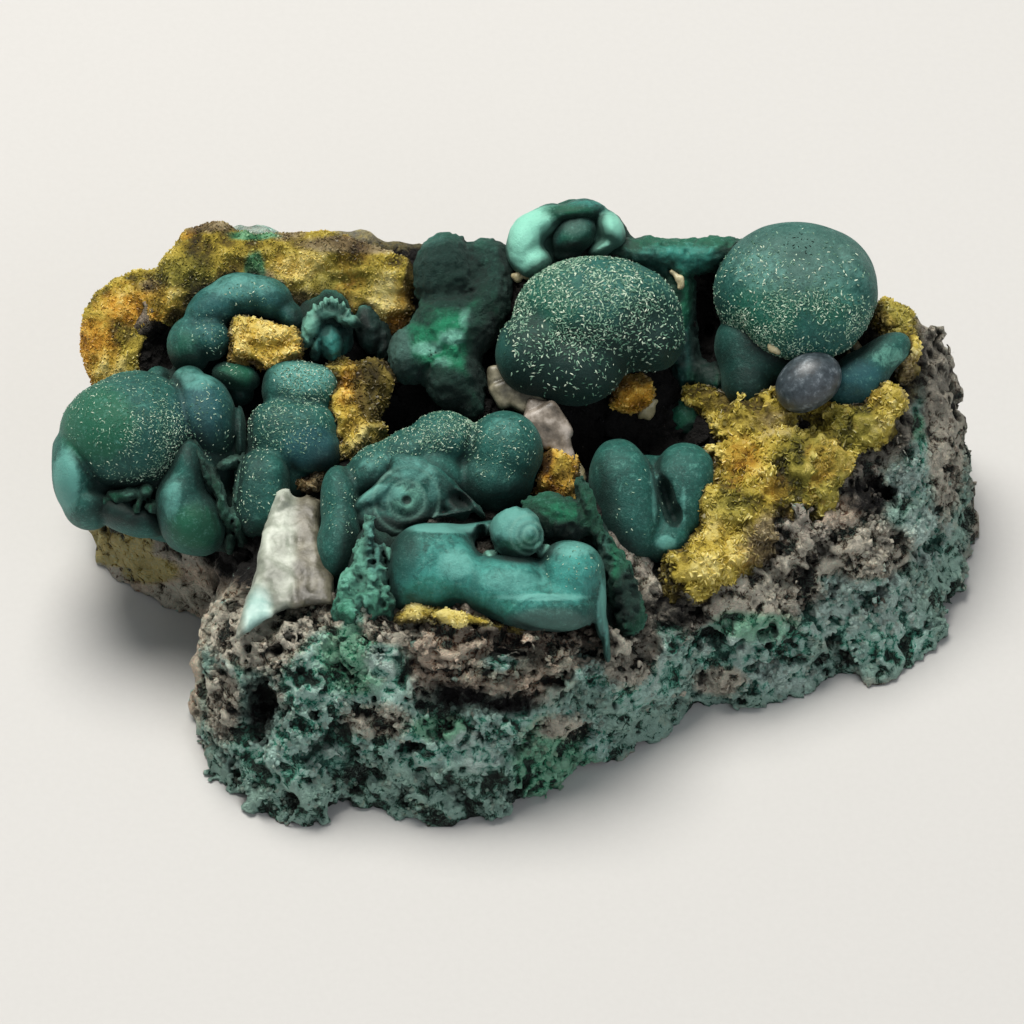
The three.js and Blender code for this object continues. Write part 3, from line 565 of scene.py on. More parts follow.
        "rings": [((-11.7, 13.6), (0.95, 2.5), -0.12), ((-11.7, 13.6), (1.7, 3.2), 0.1)],
        "lobes": [
            (-11.7, 13.2, 18.8, 4.5, 3.7, 3.4, -14), (-11.2, 16.8, 19, 2.8, 1.8, 2.6, -20),
            (-8.6, 15, 19.6, 2.6, 2, 2.4, -44), (-15.2, 14.1, 20, 3.3, 0.8, 2.4, 38),
            (-14.4, 11, 19.6, 3.2, 1.8, 3, -24), (-6.6, 12.8, 19.6, 1.8, 1, 2.2, -40),
            (-4.9, 13.3, 20.4, 2.2, 0.32, 2, -46), (-7, 12.1, 20.3, 3.2, 0.3, 2, 12),
        ],
        "hollows": [
            (-5.8, 13.6, 22.4, 1.5, 0.9, 1.8, -40), (-8.8, 10.9, 22.4, 3, 0.75, 3, 12),
            (-11.7, 13.6, 22.9, 0.55, 0.5, 1.1, 0),
        ],
        "tints": {
            "pale": [(-11, 17, 2.4, 1.2, 0.5), (-15.2, 14.3, 3, 0.9, 1), (-8.8, 14.8, 0.6, 1.4, 0.5)],
            "mint": [(-15.6, 14.2, 2, 0.5, 0.4), (-11.8, 13.7, 2, 1.6, 0.3)],
            # dark: painted shade in the carved hollows and under the crescent
            "dark": [
                (-14.6, 10.6, 2.6, 1.2, 0.9), (-5.9, 13.6, 1.2, 0.8, 1), (-11.7, 13.6, 0.5, 0.45, 1),
                (-8.8, 11, 3, 0.7, 1),
            ],
        },
    },
    "small_ball": {
        "node": "malachite_small_ball", "blend": 0.18, "fibre": 0.1,
        "rings": [((1.5, 9.9), (0.5, 1.1, 1.8), 0.05)],
        "lobes": [
            (0, 10.1, 27.8, 2.9, 2.9, 3.1, 0), (1.3, 9.7, 28.7, 1.6, 1.8, 2.3, 0),
            (-2.7, 7.6, 27.2, 1, 0.8, 1.8, 20), (2.9, 8.1, 27, 0.7, 0.9, 1.6, -20),
        ],
        "tints": {
            "pale": [(-0.6, 11.2, 2.6, 1.8, 0.8)],
            "mint": [(-2.7, 7.6, 1, 1, 1), (2.9, 8.1, 1, 1, 1)],
            "green": [(0.4, 8.6, 2.4, 1.4, 0.5)],
        },
    },
    "front_lobes": {
        "node": "malachite_front_lobes", "blend": 1.1, "power": 2.3,
        "rings": [((3.2, -1.3), (4.9,), -0.14)],
        "lobes": [
            (-8.8, 6.4, 25.6, 5, 4.8, 5.4, 0), (-6, 6, 27.6, 2.8, 2.6, 3.6, 0),
            (-1.6, 4.6, 26.8, 5, 3.4, 5, 6), (5.9, 5.8, 26.4, 3.5, 3.4, 4.8, 0),
            (2.8, 2.2, 28, 5.8, 2.6, 4, -4), (8.9, 1.8, 25.8, 0.8, 2.8, 3.6, 4),
            (9.6, -1.8, 25.2, 0.45, 2, 3, 6), (-11.8, 5.2, 25, 2, 3.8, 4.4, 0),
            (-5.6, 10, 23.8, 5.4, 0.9, 3, 12),
        ],
        "hollows": [(-3.7, 9.6, 29.4, 0.8, 1.9, 6, 0)],
        "tints": {
            "aqua": [(-4, 5, 9, 5, 0.4), (6, 5.6, 3, 3, 0.5)],
            "green": [(-9, 3, 3.4, 2.4, 0.8), (-2.6, 2.2, 3, 1.6, 0.6)],
            "pale": [
                (-6.4, 6.8, 1.8, 1.6, 0.6), (-0.6, 5, 3.2, 1.2, 0.5), (2.6, 3.3, 5, 0.35, 0.8),
                (9.2, 0.6, 0.6, 4, 0.9), (6, 8.4, 2.6, 0.8, 0.6), (-6.6, 10.6, 5, 0.5, 1),
            ],
            "dark": [(-4.4, 3.4, 0.7, 3, 0.3), (0.6, 7.6, 2.4, 0.7, 0.6), (-11.8, 8, 1.6, 3, 0.4)],
            "grey": [(3.4, 0.8, 4, 1.3, 0.8)],
        },
        "specks": [(6, 6.4, 2.6, 2.2, 0.4)],
    },
    "side_curtain": {
        "blend": 0.4, "fibre": 0.5,
        "lobes": [
            (11, 4.6, 21.4, 1.6, 4.2, 4, 14), (9.8, 7, 21, 1.1, 3.4, 3.6, 14),
            (12.2, 1.4, 22, 1.5, 2.2, 3.6, 0),
        ],
        "tints": {
            "green": [(11, 4, 4, 6, 0.8)],
            "emerald": [(10.4, 5, 0.8, 4, 0.4)],
            "dark": [(12, 3.4, 1.6, 3, 0.8)],
            "pale": [(9.4, 7, 0.8, 3, 0.3)],
        },
    },
    "green_curtain": {
        "node": "malachite_green_curtain", "slot": "green_malachite", "blend": 0.3, "fibre": 0.3,
        "lobes": [
            (4.4, 11.7, 22.2, 4, 2.4, 3.4, -15), (7.7, 12.4, 21.8, 0.7, 3.8, 3, 14),
            (8.9, 9.4, 21.6, 0.6, 2.6, 2.6, 10),
        ],
        "tints": {
            "green": [(4.6, 11.6, 5, 4, 1)],
            "emerald": [(5, 12.4, 2, 1, 0.5)],
            "dark": [(5.4, 10.2, 2, 1, 0.8)],
        },
    },
    "spike": {
        "node": "malachite_spike", "slot": "pale_malachite", "blend": 0.25, "fibre": 0.42,
        "lobes": [
            (-15.5, 8.8, 26.8, 0.6, 2.9, 1.8, 4), (-16.5, 6.6, 27, 1, 3.4, 2.2, -8),
            (-14.4, 6.2, 27.2, 0.7, 3, 2, 12), (-17.6, 4, 27.6, 1.3, 3, 2.4, -14),
            (-15.4, 3.8, 27.8, 1.3, 3.2, 2.4, 8), (-13.9, 3.4, 27.6, 0.8, 2.6, 2.2, 16),
            (-17.8, 1.8, 28, 1.5, 2.2, 2.4, 0), (-13.4, 7.4, 27, 0.4, 1.6, 1.4, 24),
        ],
        "tints": {
            "mint": [(-16, 6.6, 4, 6, 0.4)],
            "emerald": [(-16, 5, 4, 5, 0.5)],
            "green": [(-16, 2, 3, 2, 0.7)],
            "pale": [(-15, 8.6, 1, 3, 0.6)],
        },
    },
}

# Wulfenite crusts and pads, by piece. Their lobes are seated on the gossan: middle across and up, half
# sizes, roll, and how far they rise. rough is how lumpy a crust is, tablets are the smallest and largest
# of its tablets in mm, cover is how many lie on a square mm, and patches are colour zones by kind.
WULFENITE = {
    "pad_left": {
        "node": "wulfenite_pad_left", "power": 3.5, "tablets": (0.26, 0.5), "cover": 6, "rough": 1.2,
        "lobes": [(-27.3, 30.4, 4, 2.7, 3.2, -10, 1.4)],
        "patches": {"fresh": [(-27, 31, 5, 3, 0.55)], "orange": [(-27, 30, 5, 3, 0.7)]},
    },
    "pad_middle": {
        "node": "wulfenite_pad_middle", "power": 3, "tablets": (0.26, 0.5), "cover": 6, "rough": 1.3,
        "lobes": [(-16.8, 26, 3.5, 2.8, 3, 0, 1.8), (-17.2, 21.4, 3, 4, 3.2, 8, 2.9)],
        "patches": {
            # shade: painted shade on the right of the pad's upper lobe
            "shade": [(-14.8, 26, 2.6, 4, 1)],
            "orange": [(-17.9, 25.4, 1.6, 3, 0.6), (-17.2, 22.6, 1.6, 1.6, 0.8)],
            "fresh": [(-17.6, 20.8, 2.8, 3, 1)],
        },
    },
    "pad_knob": {
        "node": "wulfenite_pad_knob", "power": 3, "tablets": (0.22, 0.42), "cover": 6, "rough": 1,
        "lobes": [(4.2, 15.9, 2.5, 3.2, 3, -10, 1.2)],
        "patches": {"orange": [(4, 16, 4, 4, 1)], "fresh": [(5, 17, 1.4, 2.4, 0.5)]},
    },
    "pad_ball": {
        "node": "wulfenite_pad_ball", "power": 2.6, "tablets": (0.22, 0.42), "cover": 6, "rough": 1,
        "lobes": [(12.6, 25, 2.6, 2.1, 2.8, 0, 2)], "patches": {"orange": [(12.4, 25, 3, 3, 0.8)]},
    },
    "crumbs": {
        "node": "wulfenite_crumbs", "power": 2, "tablets": (0.3, 0.6), "cover": 6, "rough": 1,
        "lobes": [(-22.3, 15.5, 2.8, 1.3, 2.4, 8, 0.5)],
        "patches": {"stale": [(-21.4, 15.6, 2, 2, 0.8)], "orange": [(-23, 15.4, 2, 2, 0.4)]},
    },
    "left_crust": {
        "node": "wulfenite_left_crust", "power": 2.2, "tablets": (0.16, 0.34), "cover": 9, "rough": 0.6,
        "lobes": [
            (-44.4, 30, 3.2, 6.4, 2.8, 10, 0), (-41, 34.6, 5.4, 4.2, 3, 18, 0),
            (-34.8, 38, 5, 4.1, 3.4, 32, 0), (-28, 38, 5.8, 3.8, 3.2, 0, 0), (-21, 37, 6, 3.9, 3.2, -4, 0),
            (-14.4, 35.8, 3.9, 4.4, 3, 10, 0), (-13, 33.4, 1.6, 3.8, 2.6, 8, 0.3),
            (-37.4, 35.2, 3, 2.6, 3, 20, 0.6), (-33.3, 41.9, 3.5, 2.2, 2.8, 6, 0.1),
            (-27.6, 40.6, 5, 2.2, 2.8, 0, 0.1), (-20.6, 40.6, 5.4, 2.4, 2.8, -4, 0.1),
            (-13.6, 38.6, 3.4, 2.2, 2.6, -12, 0.1),
        ],
        "patches": {
            "orange": [
                (-46, 29, 2.4, 4, 0.8), (-41, 34.6, 4, 1.6, 0.9), (-24, 39, 3, 1.4, 0.4),
                (-12.6, 34, 1.6, 3, 0.7),
            ],
            "stale": [
                (-40, 37, 1.2, 0.8, 0.5), (-33.6, 43.8, 3, 1, 0.9), (-27, 37, 1.2, 2, 0.5),
                (-23.6, 35, 2, 1.4, 0.5), (-17, 41.4, 6, 0.9, 0.9), (-25, 42.6, 2, 0.8, 0.6),
            ],
            "fresh": [
                (-38, 35, 3, 1.6, 0.5), (-44.6, 27.4, 2, 3, 0.5), (-30.6, 39, 2, 2, 0.3),
                (-24, 39.4, 8, 2, 0.35), (-14.4, 36, 2, 2.6, 0.5),
            ],
            "olive": [(-36, 37.4, 3.4, 3, 0.7), (-19, 37, 4, 3, 0.6), (-44.6, 25.6, 2, 2, 0.8)],
            "green": [(-28.6, 42.4, 2.4, 0.5, 0.9), (-28.4, 38.8, 1, 1.6, 1)],
        },
    },
    "right_crust": {
        "node": "wulfenite_right_crust", "power": 2.2, "tablets": (0.24, 0.6), "cover": 5.5, "rough": 1.2,
        "lobes": [
            (21.6, 24.2, 3.8, 2.4, 2.9, -20, 0), (26.5, 21.6, 5.6, 4.2, 3.4, 0, 0.2),
            (34.5, 21.2, 6, 4.8, 3, 30, 0), (28.4, 14.8, 6.8, 5, 3.4, 25, 0.2),
            (23.6, 10.6, 5, 5.6, 3.4, 10, 0.2), (19.8, 6.2, 4.8, 3.6, 3.2, 20, 0),
            (24.4, 17, 4.6, 3.6, 3.2, 0, 0.2), (31.6, 17.6, 5, 3.6, 3.2, 20, 0.2),
            (39.6, 23.4, 2.2, 3.2, 2.2, -36, 0.2), (42.3, 29.4, 1.5, 3.6, 2.4, -8, 0.7),
            (41, 33.2, 2.8, 2.4, 2.6, 0, 0.6), (36.6, 21.4, 3.4, 3, 2.6, 20, 0.4),
        ],
        "patches": {
            "olive": [
                (32, 17, 4, 5, 0.7), (36.6, 21.6, 3, 3, 0.7), (23, 13, 3, 2, 0.5), (41, 33.4, 2, 1.6, 0.9),
            ],
            "orange": [(24, 18, 3, 3, 0.3), (28, 15, 2, 2, 0.25)],
            "fresh": [(20, 21, 2.4, 4, 0.6), (21, 8, 3, 4, 0.6), (39.4, 24.4, 1.6, 3, 0.4)],
            "stale": [(28, 9, 3, 3, 0.8), (42.6, 27, 1.2, 3, 0.5), (28, 22, 3, 2, 0.3)],
        },
    },
    "front_rim": {
        "node": "wulfenite_front_rim", "power": 2, "tablets": (0.18, 0.36), "cover": 7, "rough": 0.8,
        "lobes": [
            (-10.4, 1.5, 2.8, 1.2, 2, 8, 0.3), (-5.8, 1, 3.4, 0.9, 2, -8, 0.3),
            (-1, 0, 2.8, 0.7, 1.8, -8, 0.3),
        ],
        "patches": {"fresh": [(-6, 1, 8, 3, 0.8)]},
    },
}

# The pale prism: outlines across and up the face, and how far out each lies, back and front
CALCITE_SLABS = [
    ([
        (-26, 14.2), (-24.8, 14.6), (-23.8, 13.8), (-23, 13.4), (-23.2, 8), (-22.8, 2.6), (-25.4, 1.6),
        (-30, -1.6), (-28.8, 3), (-27.8, 6), (-27.2, 10),
    ], (23, 30.2)),
    ([
        (-24, 13.8), (-22.4, 14.2), (-21, 13.4), (-20.9, 9.4), (-19.4, 5.2), (-19.6, 2.6), (-24, 2),
    ], (23.7, 30.3)),
    ([(-25.8, 14.6), (-24.4, 14.9), (-23.8, 13), (-25.8, 12.4)], (25, 31)),
]

# Chips of calcite lodged between the growths: across, up, half sizes, roll
CREAM_CHIPS = [
    (0.6, 38, 0.9, 0.5, 20), (17.6, 37.6, 0.5, 1.1, 24), (14.4, 23.5, 0.7, 1.2, -30),
    (28, 29.9, 0.8, 0.4, -36), (36.8, 30, 1, 0.7, 20), (6.9, 16.4, 0.5, 1.3, 20),
    (18.5, 8.6, 0.5, 1.1, -18), (-19.5, 36.5, 0.7, 0.4, 60), (-18.1, 36.7, 0.7, 0.4, 76),
    (-16.9, 36.2, 0.8, 0.4, 50), (-25.6, 38.4, 0.9, 0.6, 70), (-24.4, 37.6, 1.1, 0.7, 64),
    (-23.2, 36.6, 1, 0.6, 80), (-22.4, 35.4, 0.9, 0.6, 60),
]


def half_over(value, low, high):
    """0 below low, 1 above high, and smooth between."""
    share = np.clip((value - low) / (high - low), 0, 1)
    return share * share * (3 - 2 * share)


def table_rows(cells):
    """Rows of the random tables for whole-number places."""
    mixed = [cell * prime for cell, prime in zip(cells, PRIMES)]
    return (mixed[0] ^ mixed[1] ^ mixed[2]) & (TABLE_SIZE - 1)


def noise(x, y, z, size, seed):
    """Lumps about size millimetres across, from -1 to 1."""
    table = np.random.default_rng(seed).uniform(-1, 1, TABLE_SIZE).astype(np.float32)
    cells = [np.floor(v / size).astype(np.int64) for v in (x, y, z)]
    parts = [v / size - cell for v, cell in zip((x, y, z), cells)]
    parts = [p * p * (3 - 2 * p) for p in parts]
    total = 0
    for corner in CORNERS:
        weights = [p if c else 1 - p for p, c in zip(parts, corner)]
        drawn = table[table_rows([cell + c for cell, c in zip(cells, corner)])]
        total = total + weights[0] * weights[1] * weights[2] * drawn
    return total


def grains(points, size, seed):
    """Distance to the nearest of scattered grains, in shares of their size."""
    table = np.random.default_rng(seed).uniform(0.1, 0.9, (TABLE_SIZE, 3))
    scaled = points / size
    cell = np.floor(scaled).astype(np.int64)
    around = (cell + step for step in itertools.product((-1, 0, 1), repeat=3))
    return functools.reduce(np.minimum, (
        np.linalg.norm(at + table[table_rows(at.T)] - scaled, axis=1) for at in around
    ))


def lobe_distance(x, y, z, lobe, power=2):
    """Distance to a lobe, squarer with a power above 2, near enough for shaping."""
    at, half, turn = lobe[:3], lobe[3:6], math.radians(lobe[6])
    px = (x - at[0]) * math.cos(turn) + (y - at[1]) * math.sin(turn)
    py = (y - at[1]) * math.cos(turn) - (x - at[0]) * math.sin(turn)
    shares = [np.abs(p / h) for p, h in zip((px, py, z - at[2]), half)]
    reach = sum(share ** power for share in shares) ** (1 / power)
    slopes = [share ** (power - 1) / h for share, h in zip(shares, half)]
    slope = np.sqrt(sum(s ** 2 for s in slopes)) / np.maximum(reach, 1e-6) ** (power - 1)
    return (reach - 1) / np.maximum(slope, 1 / max(half))


def smooth_min(a, b, width):
    share = np.clip(0.5 + 0.5 * (b - a) / width, 0, 1)
    return b + (a - b) * share - width * share * (1 - share)


def smooth_max(a, b, width):
    return -smooth_min(-a, -b, width)


def joined(distances, blend):
    """Distance to forms that run together."""
    return functools.reduce(lambda a, b: smooth_min(a, b, blend), distances)


def lobes_distance(x, y, z, lobes, blend, power=2):
    """Distance to lobes that run together."""
    return joined((lobe_distance(x, y, z, lobe, power) for lobe in lobes), blend)


def outline_distance(x, y, outline):
    """Distance to a closed outline, negative inside."""
    nearest = np.full(np.broadcast(x, y).shape, 1e9)
    inside = np.zeros(nearest.shape, bool)
    for (ax, ay), (bx, by) in zip(outline, outline[1:] + outline[:1]):
        ex, ey = bx - ax, by - ay
        wx, wy = x - ax, y - ay
        t = np.clip((wx * ex + wy * ey) / (ex * ex + ey * ey), 0, 1)
        nearest = np.minimum(nearest, np.hypot(wx - t * ex, wy - t * ey))
        slope = ex / ey if ey else 0
        inside ^= ((ay > y) != (by > y)) & (x < ax + (y - ay) * slope)
    return np.where(inside, -nearest, nearest)


def zone_mask(x, y, at, half, edge=0.45):
    """1 inside an ellipse of the face and 0 well outside it."""
    radius = np.hypot((x - at[0]) / half[0], (y - at[1]) / half[1])
    return 1 - half_over(radius, 1 - edge, 1 + edge)


def painted(x, y, zones, edge=0.45):
    """The strongest of several zones."""
    return np.max([zone_mask(x, y, zone[:2], zone[2:4], edge) * zone[4] for zone in zones], axis=0)


def top_height(x, y):
    """Height of the gossan on the display side, from its spot heights."""
    weights = 0
    total = 0
    for sx, sy, height in SPOT_HEIGHTS:
        weight = ((x - sx) ** 2 + (y - sy) ** 2 + SPOT_SOFTNESS ** 2) ** -2
        weights = weights + weight
        total = total + weight * height
    return total / weights


def broad_lumps(x, y, z):
    """Swellings of the gossan, as in the part's source."""
    return (
        0.8 * np.sin(0.62 * x + 0.35 * z + 1.3) * np.sin(0.55 * y - 0.48 * z + 0.4)
        + 0.5 * np.sin(1.15 * x - 0.6 * y + 2.1) * np.sin(1.05 * z + 0.5 * y)
        + 0.35 * np.sin(1.9 * y + 0.7 * x) * np.sin(1.7 * x + 1.4 * z + 0.9)
    )


def worn(x, up):
    """How much smoother the gossan is there, and how much prouder."""
    masks = [zone_mask(x, up, zone[:2], zone[2:4]) for zone in CALM_ZONES]
    return [np.max([zone[i] * mask for zone, mask in zip(CALM_ZONES, masks)], axis=0) for i in (4, 5)]


def row_point(across, up, out):
    """A point of the row's axes, from the face's."""
    return across, FACE_LEAN * (up - out), FACE_LEAN * (up + out)


def up_and_out(y, z):
    """How far up the face and out of it a point of the row's axes lies."""
    return FACE_LEAN * (y + z), FACE_LEAN * (z - y)


def rock_distance(x, y, z):
    """Distance to the gossan's broad form, in the row's axes."""
    rise = np.clip(z / RIM_HEIGHT, -0.3, 1.5)
    foot = outline_distance(x, y, FOOT_OUTLINE)
    side = foot + (outline_distance(x, y, RIM_OUTLINE) - foot) * rise
    face = FACE_STEEPNESS * (z - top_height(x, y))
    up, out = up_and_out(y, z)
    smoother, prouder = worn(x, up)
    lumps = broad_lumps(x, y, z) * (1 - WORN_LUMPS * smoother)
    distance = smooth_max(side, face, 2 * EDGE_ROUNDING) - lumps - ROCK_SWELL - prouder
    for hollow in ROCK_HOLLOWS:
        distance = smooth_max(distance, -lobe_distance(x, up, out, hollow), HOLLOW_ROUNDING)
    return distance


def rock_relief(x, y, z):
    """How far the broken grain stands out of the broad form, in the row's axes."""
    points = np.stack([x, y, z], axis=-1)
    bend = BEND[1] * noise(x, y, z, BEND[0], 8)
    coarse = GRAIN_MIDDLE - grains(points, COARSE_GRAIN[0], 3)
    fine = GRAIN_MIDDLE - grains(points, FINE_GRAIN[0], 4)
    crests = 0.4 - 2 * np.abs(noise(x + bend, y - bend, z + bend, CREST[0], 5))
    pits = np.minimum(noise(x, y, z, PIT[0], 6) + 0.1, 0)
    relief = COARSE_GRAIN[1] * coarse + FINE_GRAIN[1] * fine + CREST[1] * crests + PIT[1] * pits
    up, out = up_and_out(y, z)
    sheets = 0.35 - 2 * np.abs(noise(0.22 * x, up + 0.3 * bend, out, SHEET[0], 9))
    layered = zone_mask(x, up, *LAYERED_ZONE)
    relief = relief + layered * (SHEET[1] * sheets - 0.4 * relief)
    return relief * (1 - worn(x, up)[0])


def face_rock(across, up, out):
    """Distance to the gossan's broad form, in the face's axes."""
    return rock_distance(*row_point(across, up, out))


def all_distance(across, up, out):
    """Distance to the nearest of the specimen's main forms."""
    growths = (lobes_distance(across, up, out, growth["lobes"], 0.3) for growth in MALACHITE.values())
    return functools.reduce(np.minimum, growths, face_rock(across, up, out))


def foremost(distance, across, up, near, far):
    """How far out of the face a form reaches there, looking from near to far."""
    out = np.arange(near, far, -0.1)
    found = distance(np.full_like(out, across), np.full_like(out, up), out)
    return out[np.argmax(found <= max(0, found.min()))]


def openness(piece, across, up, out):
    """1 where a piece's surface lies open, towards 0 in its crevices."""
    nx, ny, nz = read_vectors(piece, "normal").T
    turned = nx, *up_and_out(ny, nz)
    total = 0
    for reach in CREVICE_REACHES:
        spot = [place + reach * n for place, n in zip((across, up, out), turned)]
        total = total + np.clip(all_distance(*spot) / reach, 0, 1) / len(CREVICE_REACHES)
    return total


def skin(distance, low, high, step):
    """Vertices and quads of the closed surface where the distance is zero."""
    axes = [np.arange(lo - 2 * step, hi + 3 * step, step) for lo, hi in zip(low, high)]
    value = np.broadcast_to(distance(*np.ix_(*axes)), [len(a) for a in axes]).copy()
    for axis in range(3):
        ends = [slice(None)] * 3
        for end in (0, -1):
            ends[axis] = end
            value[tuple(ends)] = np.maximum(value[tuple(ends)], step)
    inside = value < 0
    size = [n - 1 for n in value.shape]
    count = sum(
        inside[tuple(slice(c, c + n) for c, n in zip(corner, size))].astype(np.int8) for corner in CORNERS
    )
    mixed = (count > 0) & (count < 8)
    cells = np.argwhere(mixed)
    number = np.full(mixed.shape, -1)
    number[mixed] = np.arange(len(cells))
    total = np.zeros((len(cells), 3))
    crossings = np.zeros(len(cells))
    for a, b in itertools.combinations(CORNERS, 2):
        if np.abs(a - b).sum() != 1:
            continue
        va = value[tuple((cells + a).T)]
        vb = value[tuple((cells + b).T)]
        crosses = (va < 0) != (vb < 0)
        t = np.where(crosses, va / np.where(crosses, va - vb, 1), 0)
        total += crosses[:, None] * (a + t[:, None] * (b - a))
        crossings += crosses
    vertices = np.array([a[0] for a in axes]) + step * (cells + total / crossings[:, None])
    quads = []
    for axis in range(3):
        side = [np.eye(3, dtype=int)[(axis + turn) % 3] for turn in (1, 2)]
        before = np.take(inside, range(size[axis]), axis)
        after = np.take(inside, range(1, size[axis] + 1), axis)
        edges = np.argwhere(before != after)
        ring = [edges, edges - side[0], edges - side[0] - side[1], edges - side[1]]
        quad = np.stack([number[tuple(r.T)] for r in ring], axis=1)
        outward = before[tuple(edges.T)]
        quads.append(np.where(outward[:, None], quad, quad[:, ::-1]))
    return settled(vertices, distance, step), np.concatenate(quads)


def settled(vertices, distance, step):
    """Vertices drawn onto the surface along its slope."""
    nudge = 0.04
    for _ in range(2):
        here = distance(*vertices.T)
        slope = np.stack([
            distance(*(vertices + nudge * axis).T) - distance(*(vertices - nudge * axis).T)
            for axis in np.eye(3)
        ], axis=1) / (2 * nudge)
        steep = np.maximum((slope ** 2).sum(axis=1), 0.2)
        move = -slope * (here / steep)[:, None]
        vertices = vertices + np.clip(move, -0.5 * step, 0.5 * step)
    return vertices


def span(lobes, margin):
    """Lowest and highest corners that hold every lobe, whatever its roll."""
    rows = np.array(lobes, float)
    middles = rows[:, :3]
    wide = rows[:, 3:5].max(axis=1)
    reach = np.stack([wide, wide, rows[:, 5]], axis=1)
    return (middles - reach).min(axis=0) - margin, (middles + reach).max(axis=0) + margin


def read_vectors(piece, key):
    """A vector of each of a piece's vertices."""
    values = np.zeros(len(piece.data.vertices) * 3)
    piece.data.vertices.foreach_get(key, values)
    return values.reshape(-1, 3)


def linked(name, data):
    """An object of the scene with this data."""
    made = bpy.data.objects.new(name, data)
    bpy.context.scene.collection.objects.link(made)
    return made


def new_piece(name, points, faces, material):
    """A closed smooth mesh object from points in metres, kept inside the CAD model's box."""
    mesh = bpy.data.meshes.new(name)
    mesh.from_pydata(np.clip(points, *np.array(CAD_BOX)).tolist(), [], faces.tolist())
    mesh.materials.append(material)
    mesh.shade_smooth()
    return linked(name, mesh)


def grown(name, distance, space, step, material):
    """A piece skinned from a distance in the face's axes, and its vertices across, up and out."""
    vertices, quads = skin(distance, *space, step)
    points = MM * np.stack(row_point(*vertices.T), axis=1)
    return new_piece(name, points, quads, material), vertices.T


def take_result(piece):
    """Applies a piece's modifier, and keeps the result inside the CAD model's box."""
    bpy.context.view_layer.update()
    piece.data = bpy.data.meshes.new_from_object(piece.evaluated_get(bpy.context.evaluated_depsgraph_get()))
    piece.modifiers.clear()
    points = np.clip(read_vectors(piece, "co"), *np.array(CAD_BOX))
    piece.data.vertices.foreach_set("co", points.ravel())


def thin_out(piece, most):
    """Joins faces where the surface is flattest, until the piece has no more triangles than most."""
    modifier = piece.modifiers.new("thin", "DECIMATE")
    modifier.ratio = min(1, most / (2 * len(piece.data.polygons)))
    take_result(piece)


def settle_in(piece, cad_node=None):
    """Puts a piece on the specimen's one body, and hides the CAD node it replaces."""
    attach(piece, "root")
    if cad_node:
        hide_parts(cad_node)


def set_attribute(piece, name, values):
    attribute = piece.data.attributes.new(name, "FLOAT", "POINT")
    attribute.data.foreach_set("value", np.asarray(values, np.float32))


def linear(colour):
    """Linear colour with alpha, from an sRGB hex value."""
    channels = [((colour >> shift) & 255) / 255 for shift in (16, 8, 0)]
    return [c / 12.92 if c < 0.04045 else ((c + 0.055) / 1.055) ** 2.4 for c in channels] + [1]


def socket_of(sockets, key):
    """A socket by its number, or the one in use that has this name."""
    return sockets[key] if isinstance(key, int) else next(s for s in sockets if s.enabled and s.name == key)


def fill(owner, inputs):
    """Sets or links a node's inputs."""
    for key, value in inputs.items():
        socket = socket_of(owner.inputs, key)
        if isinstance(value, bpy.types.NodeSocket):
            owner.id_data.links.new(value, socket)
        else:
            socket.default_value = value


def node(tree, kind, inputs, out=0, stops=(), **settings):
    """Adds a node with its settings, links and colour stops, and gives one of its outputs."""
    made = tree.nodes.new(kind)
    for key, value in settings.items():
        setattr(made, key, value)
    for number, (position, colour) in enumerate(stops):
        elements = made.color_ramp.elements
        element = elements[number] if number < len(elements) else elements.new(position)
        element.position = position
        element.color = linear(colour)
    fill(made, inputs)
    return socket_of(made.outputs, out) if made.outputs else None


def per(size_mm):
    """Texture scale at which a pattern repeats about every size_mm."""
    return 1 / (size_mm * MM)


def started(name, patterns, attributes=()):
    """A new material's tree with its sources by name: patterns of noise, each with a size in mm, detail,
    roughness and warp, and attributes of the pieces."""
    material = bpy.data.materials.new(name)
    material.use_nodes = True
    tree = material.node_tree
    place = node(tree, "ShaderNodeTexCoord", {}, "Object")
    given = SimpleNamespace(material=material, tree=tree, place=place)
    for key, (size, detail, rough, warp) in patterns.items():
        vars(given)[key] = node(tree, NOISE, {
            "Vector": place, "Scale": per(size), "Detail": detail, "Roughness": rough, "Distortion": warp,
        })
    for key in attributes:
        vars(given)[key] = node(tree, "ShaderNodeAttribute", {}, "Fac", attribute_name=key)
    return given


def finished(given, values, strength=0, depth_mm=0, height=None):
    """Fills in the shader, with a bump where there is a height, and gives the material."""
    if height is not None:
        bump = {"Strength": strength, "Distance": depth_mm * MM, "Height": height}
        values["Normal"] = node(given.tree, "ShaderNodeBump", bump)
    fill(given.tree.nodes["Principled BSDF"], values)
    return given.material


def weighted(given, total, *terms):
    """A number plus values, each times its share."""
    for value, share in terms:
        total = node(given.tree, MATH, {0: value, 1: share, 2: total}, operation="MULTIPLY_ADD")
    return total


def layered(given, colour, *layers):
    """A colour with others laid over it in turn, each by a factor."""
    for factor, over in layers:
        inputs = {"Factor": factor, "A": colour, "B": over}
        colour = node(given.tree, "ShaderNodeMix", inputs, "Result", data_type="RGBA")
    return colour


def patch(given, kind, breaker, sharpness, most=1):
    """How strongly a colour zone covers, its edge broken up by a pattern so that it is ragged."""
    lifted = weighted(given, -0.62, (vars(given)[kind], 1), (breaker, 1))
    mask = node(given.tree, MATH, {0: lifted, 1: sharpness}, operation="MULTIPLY", use_clamp=True)
    return weighted(given, 0, (mask, most))


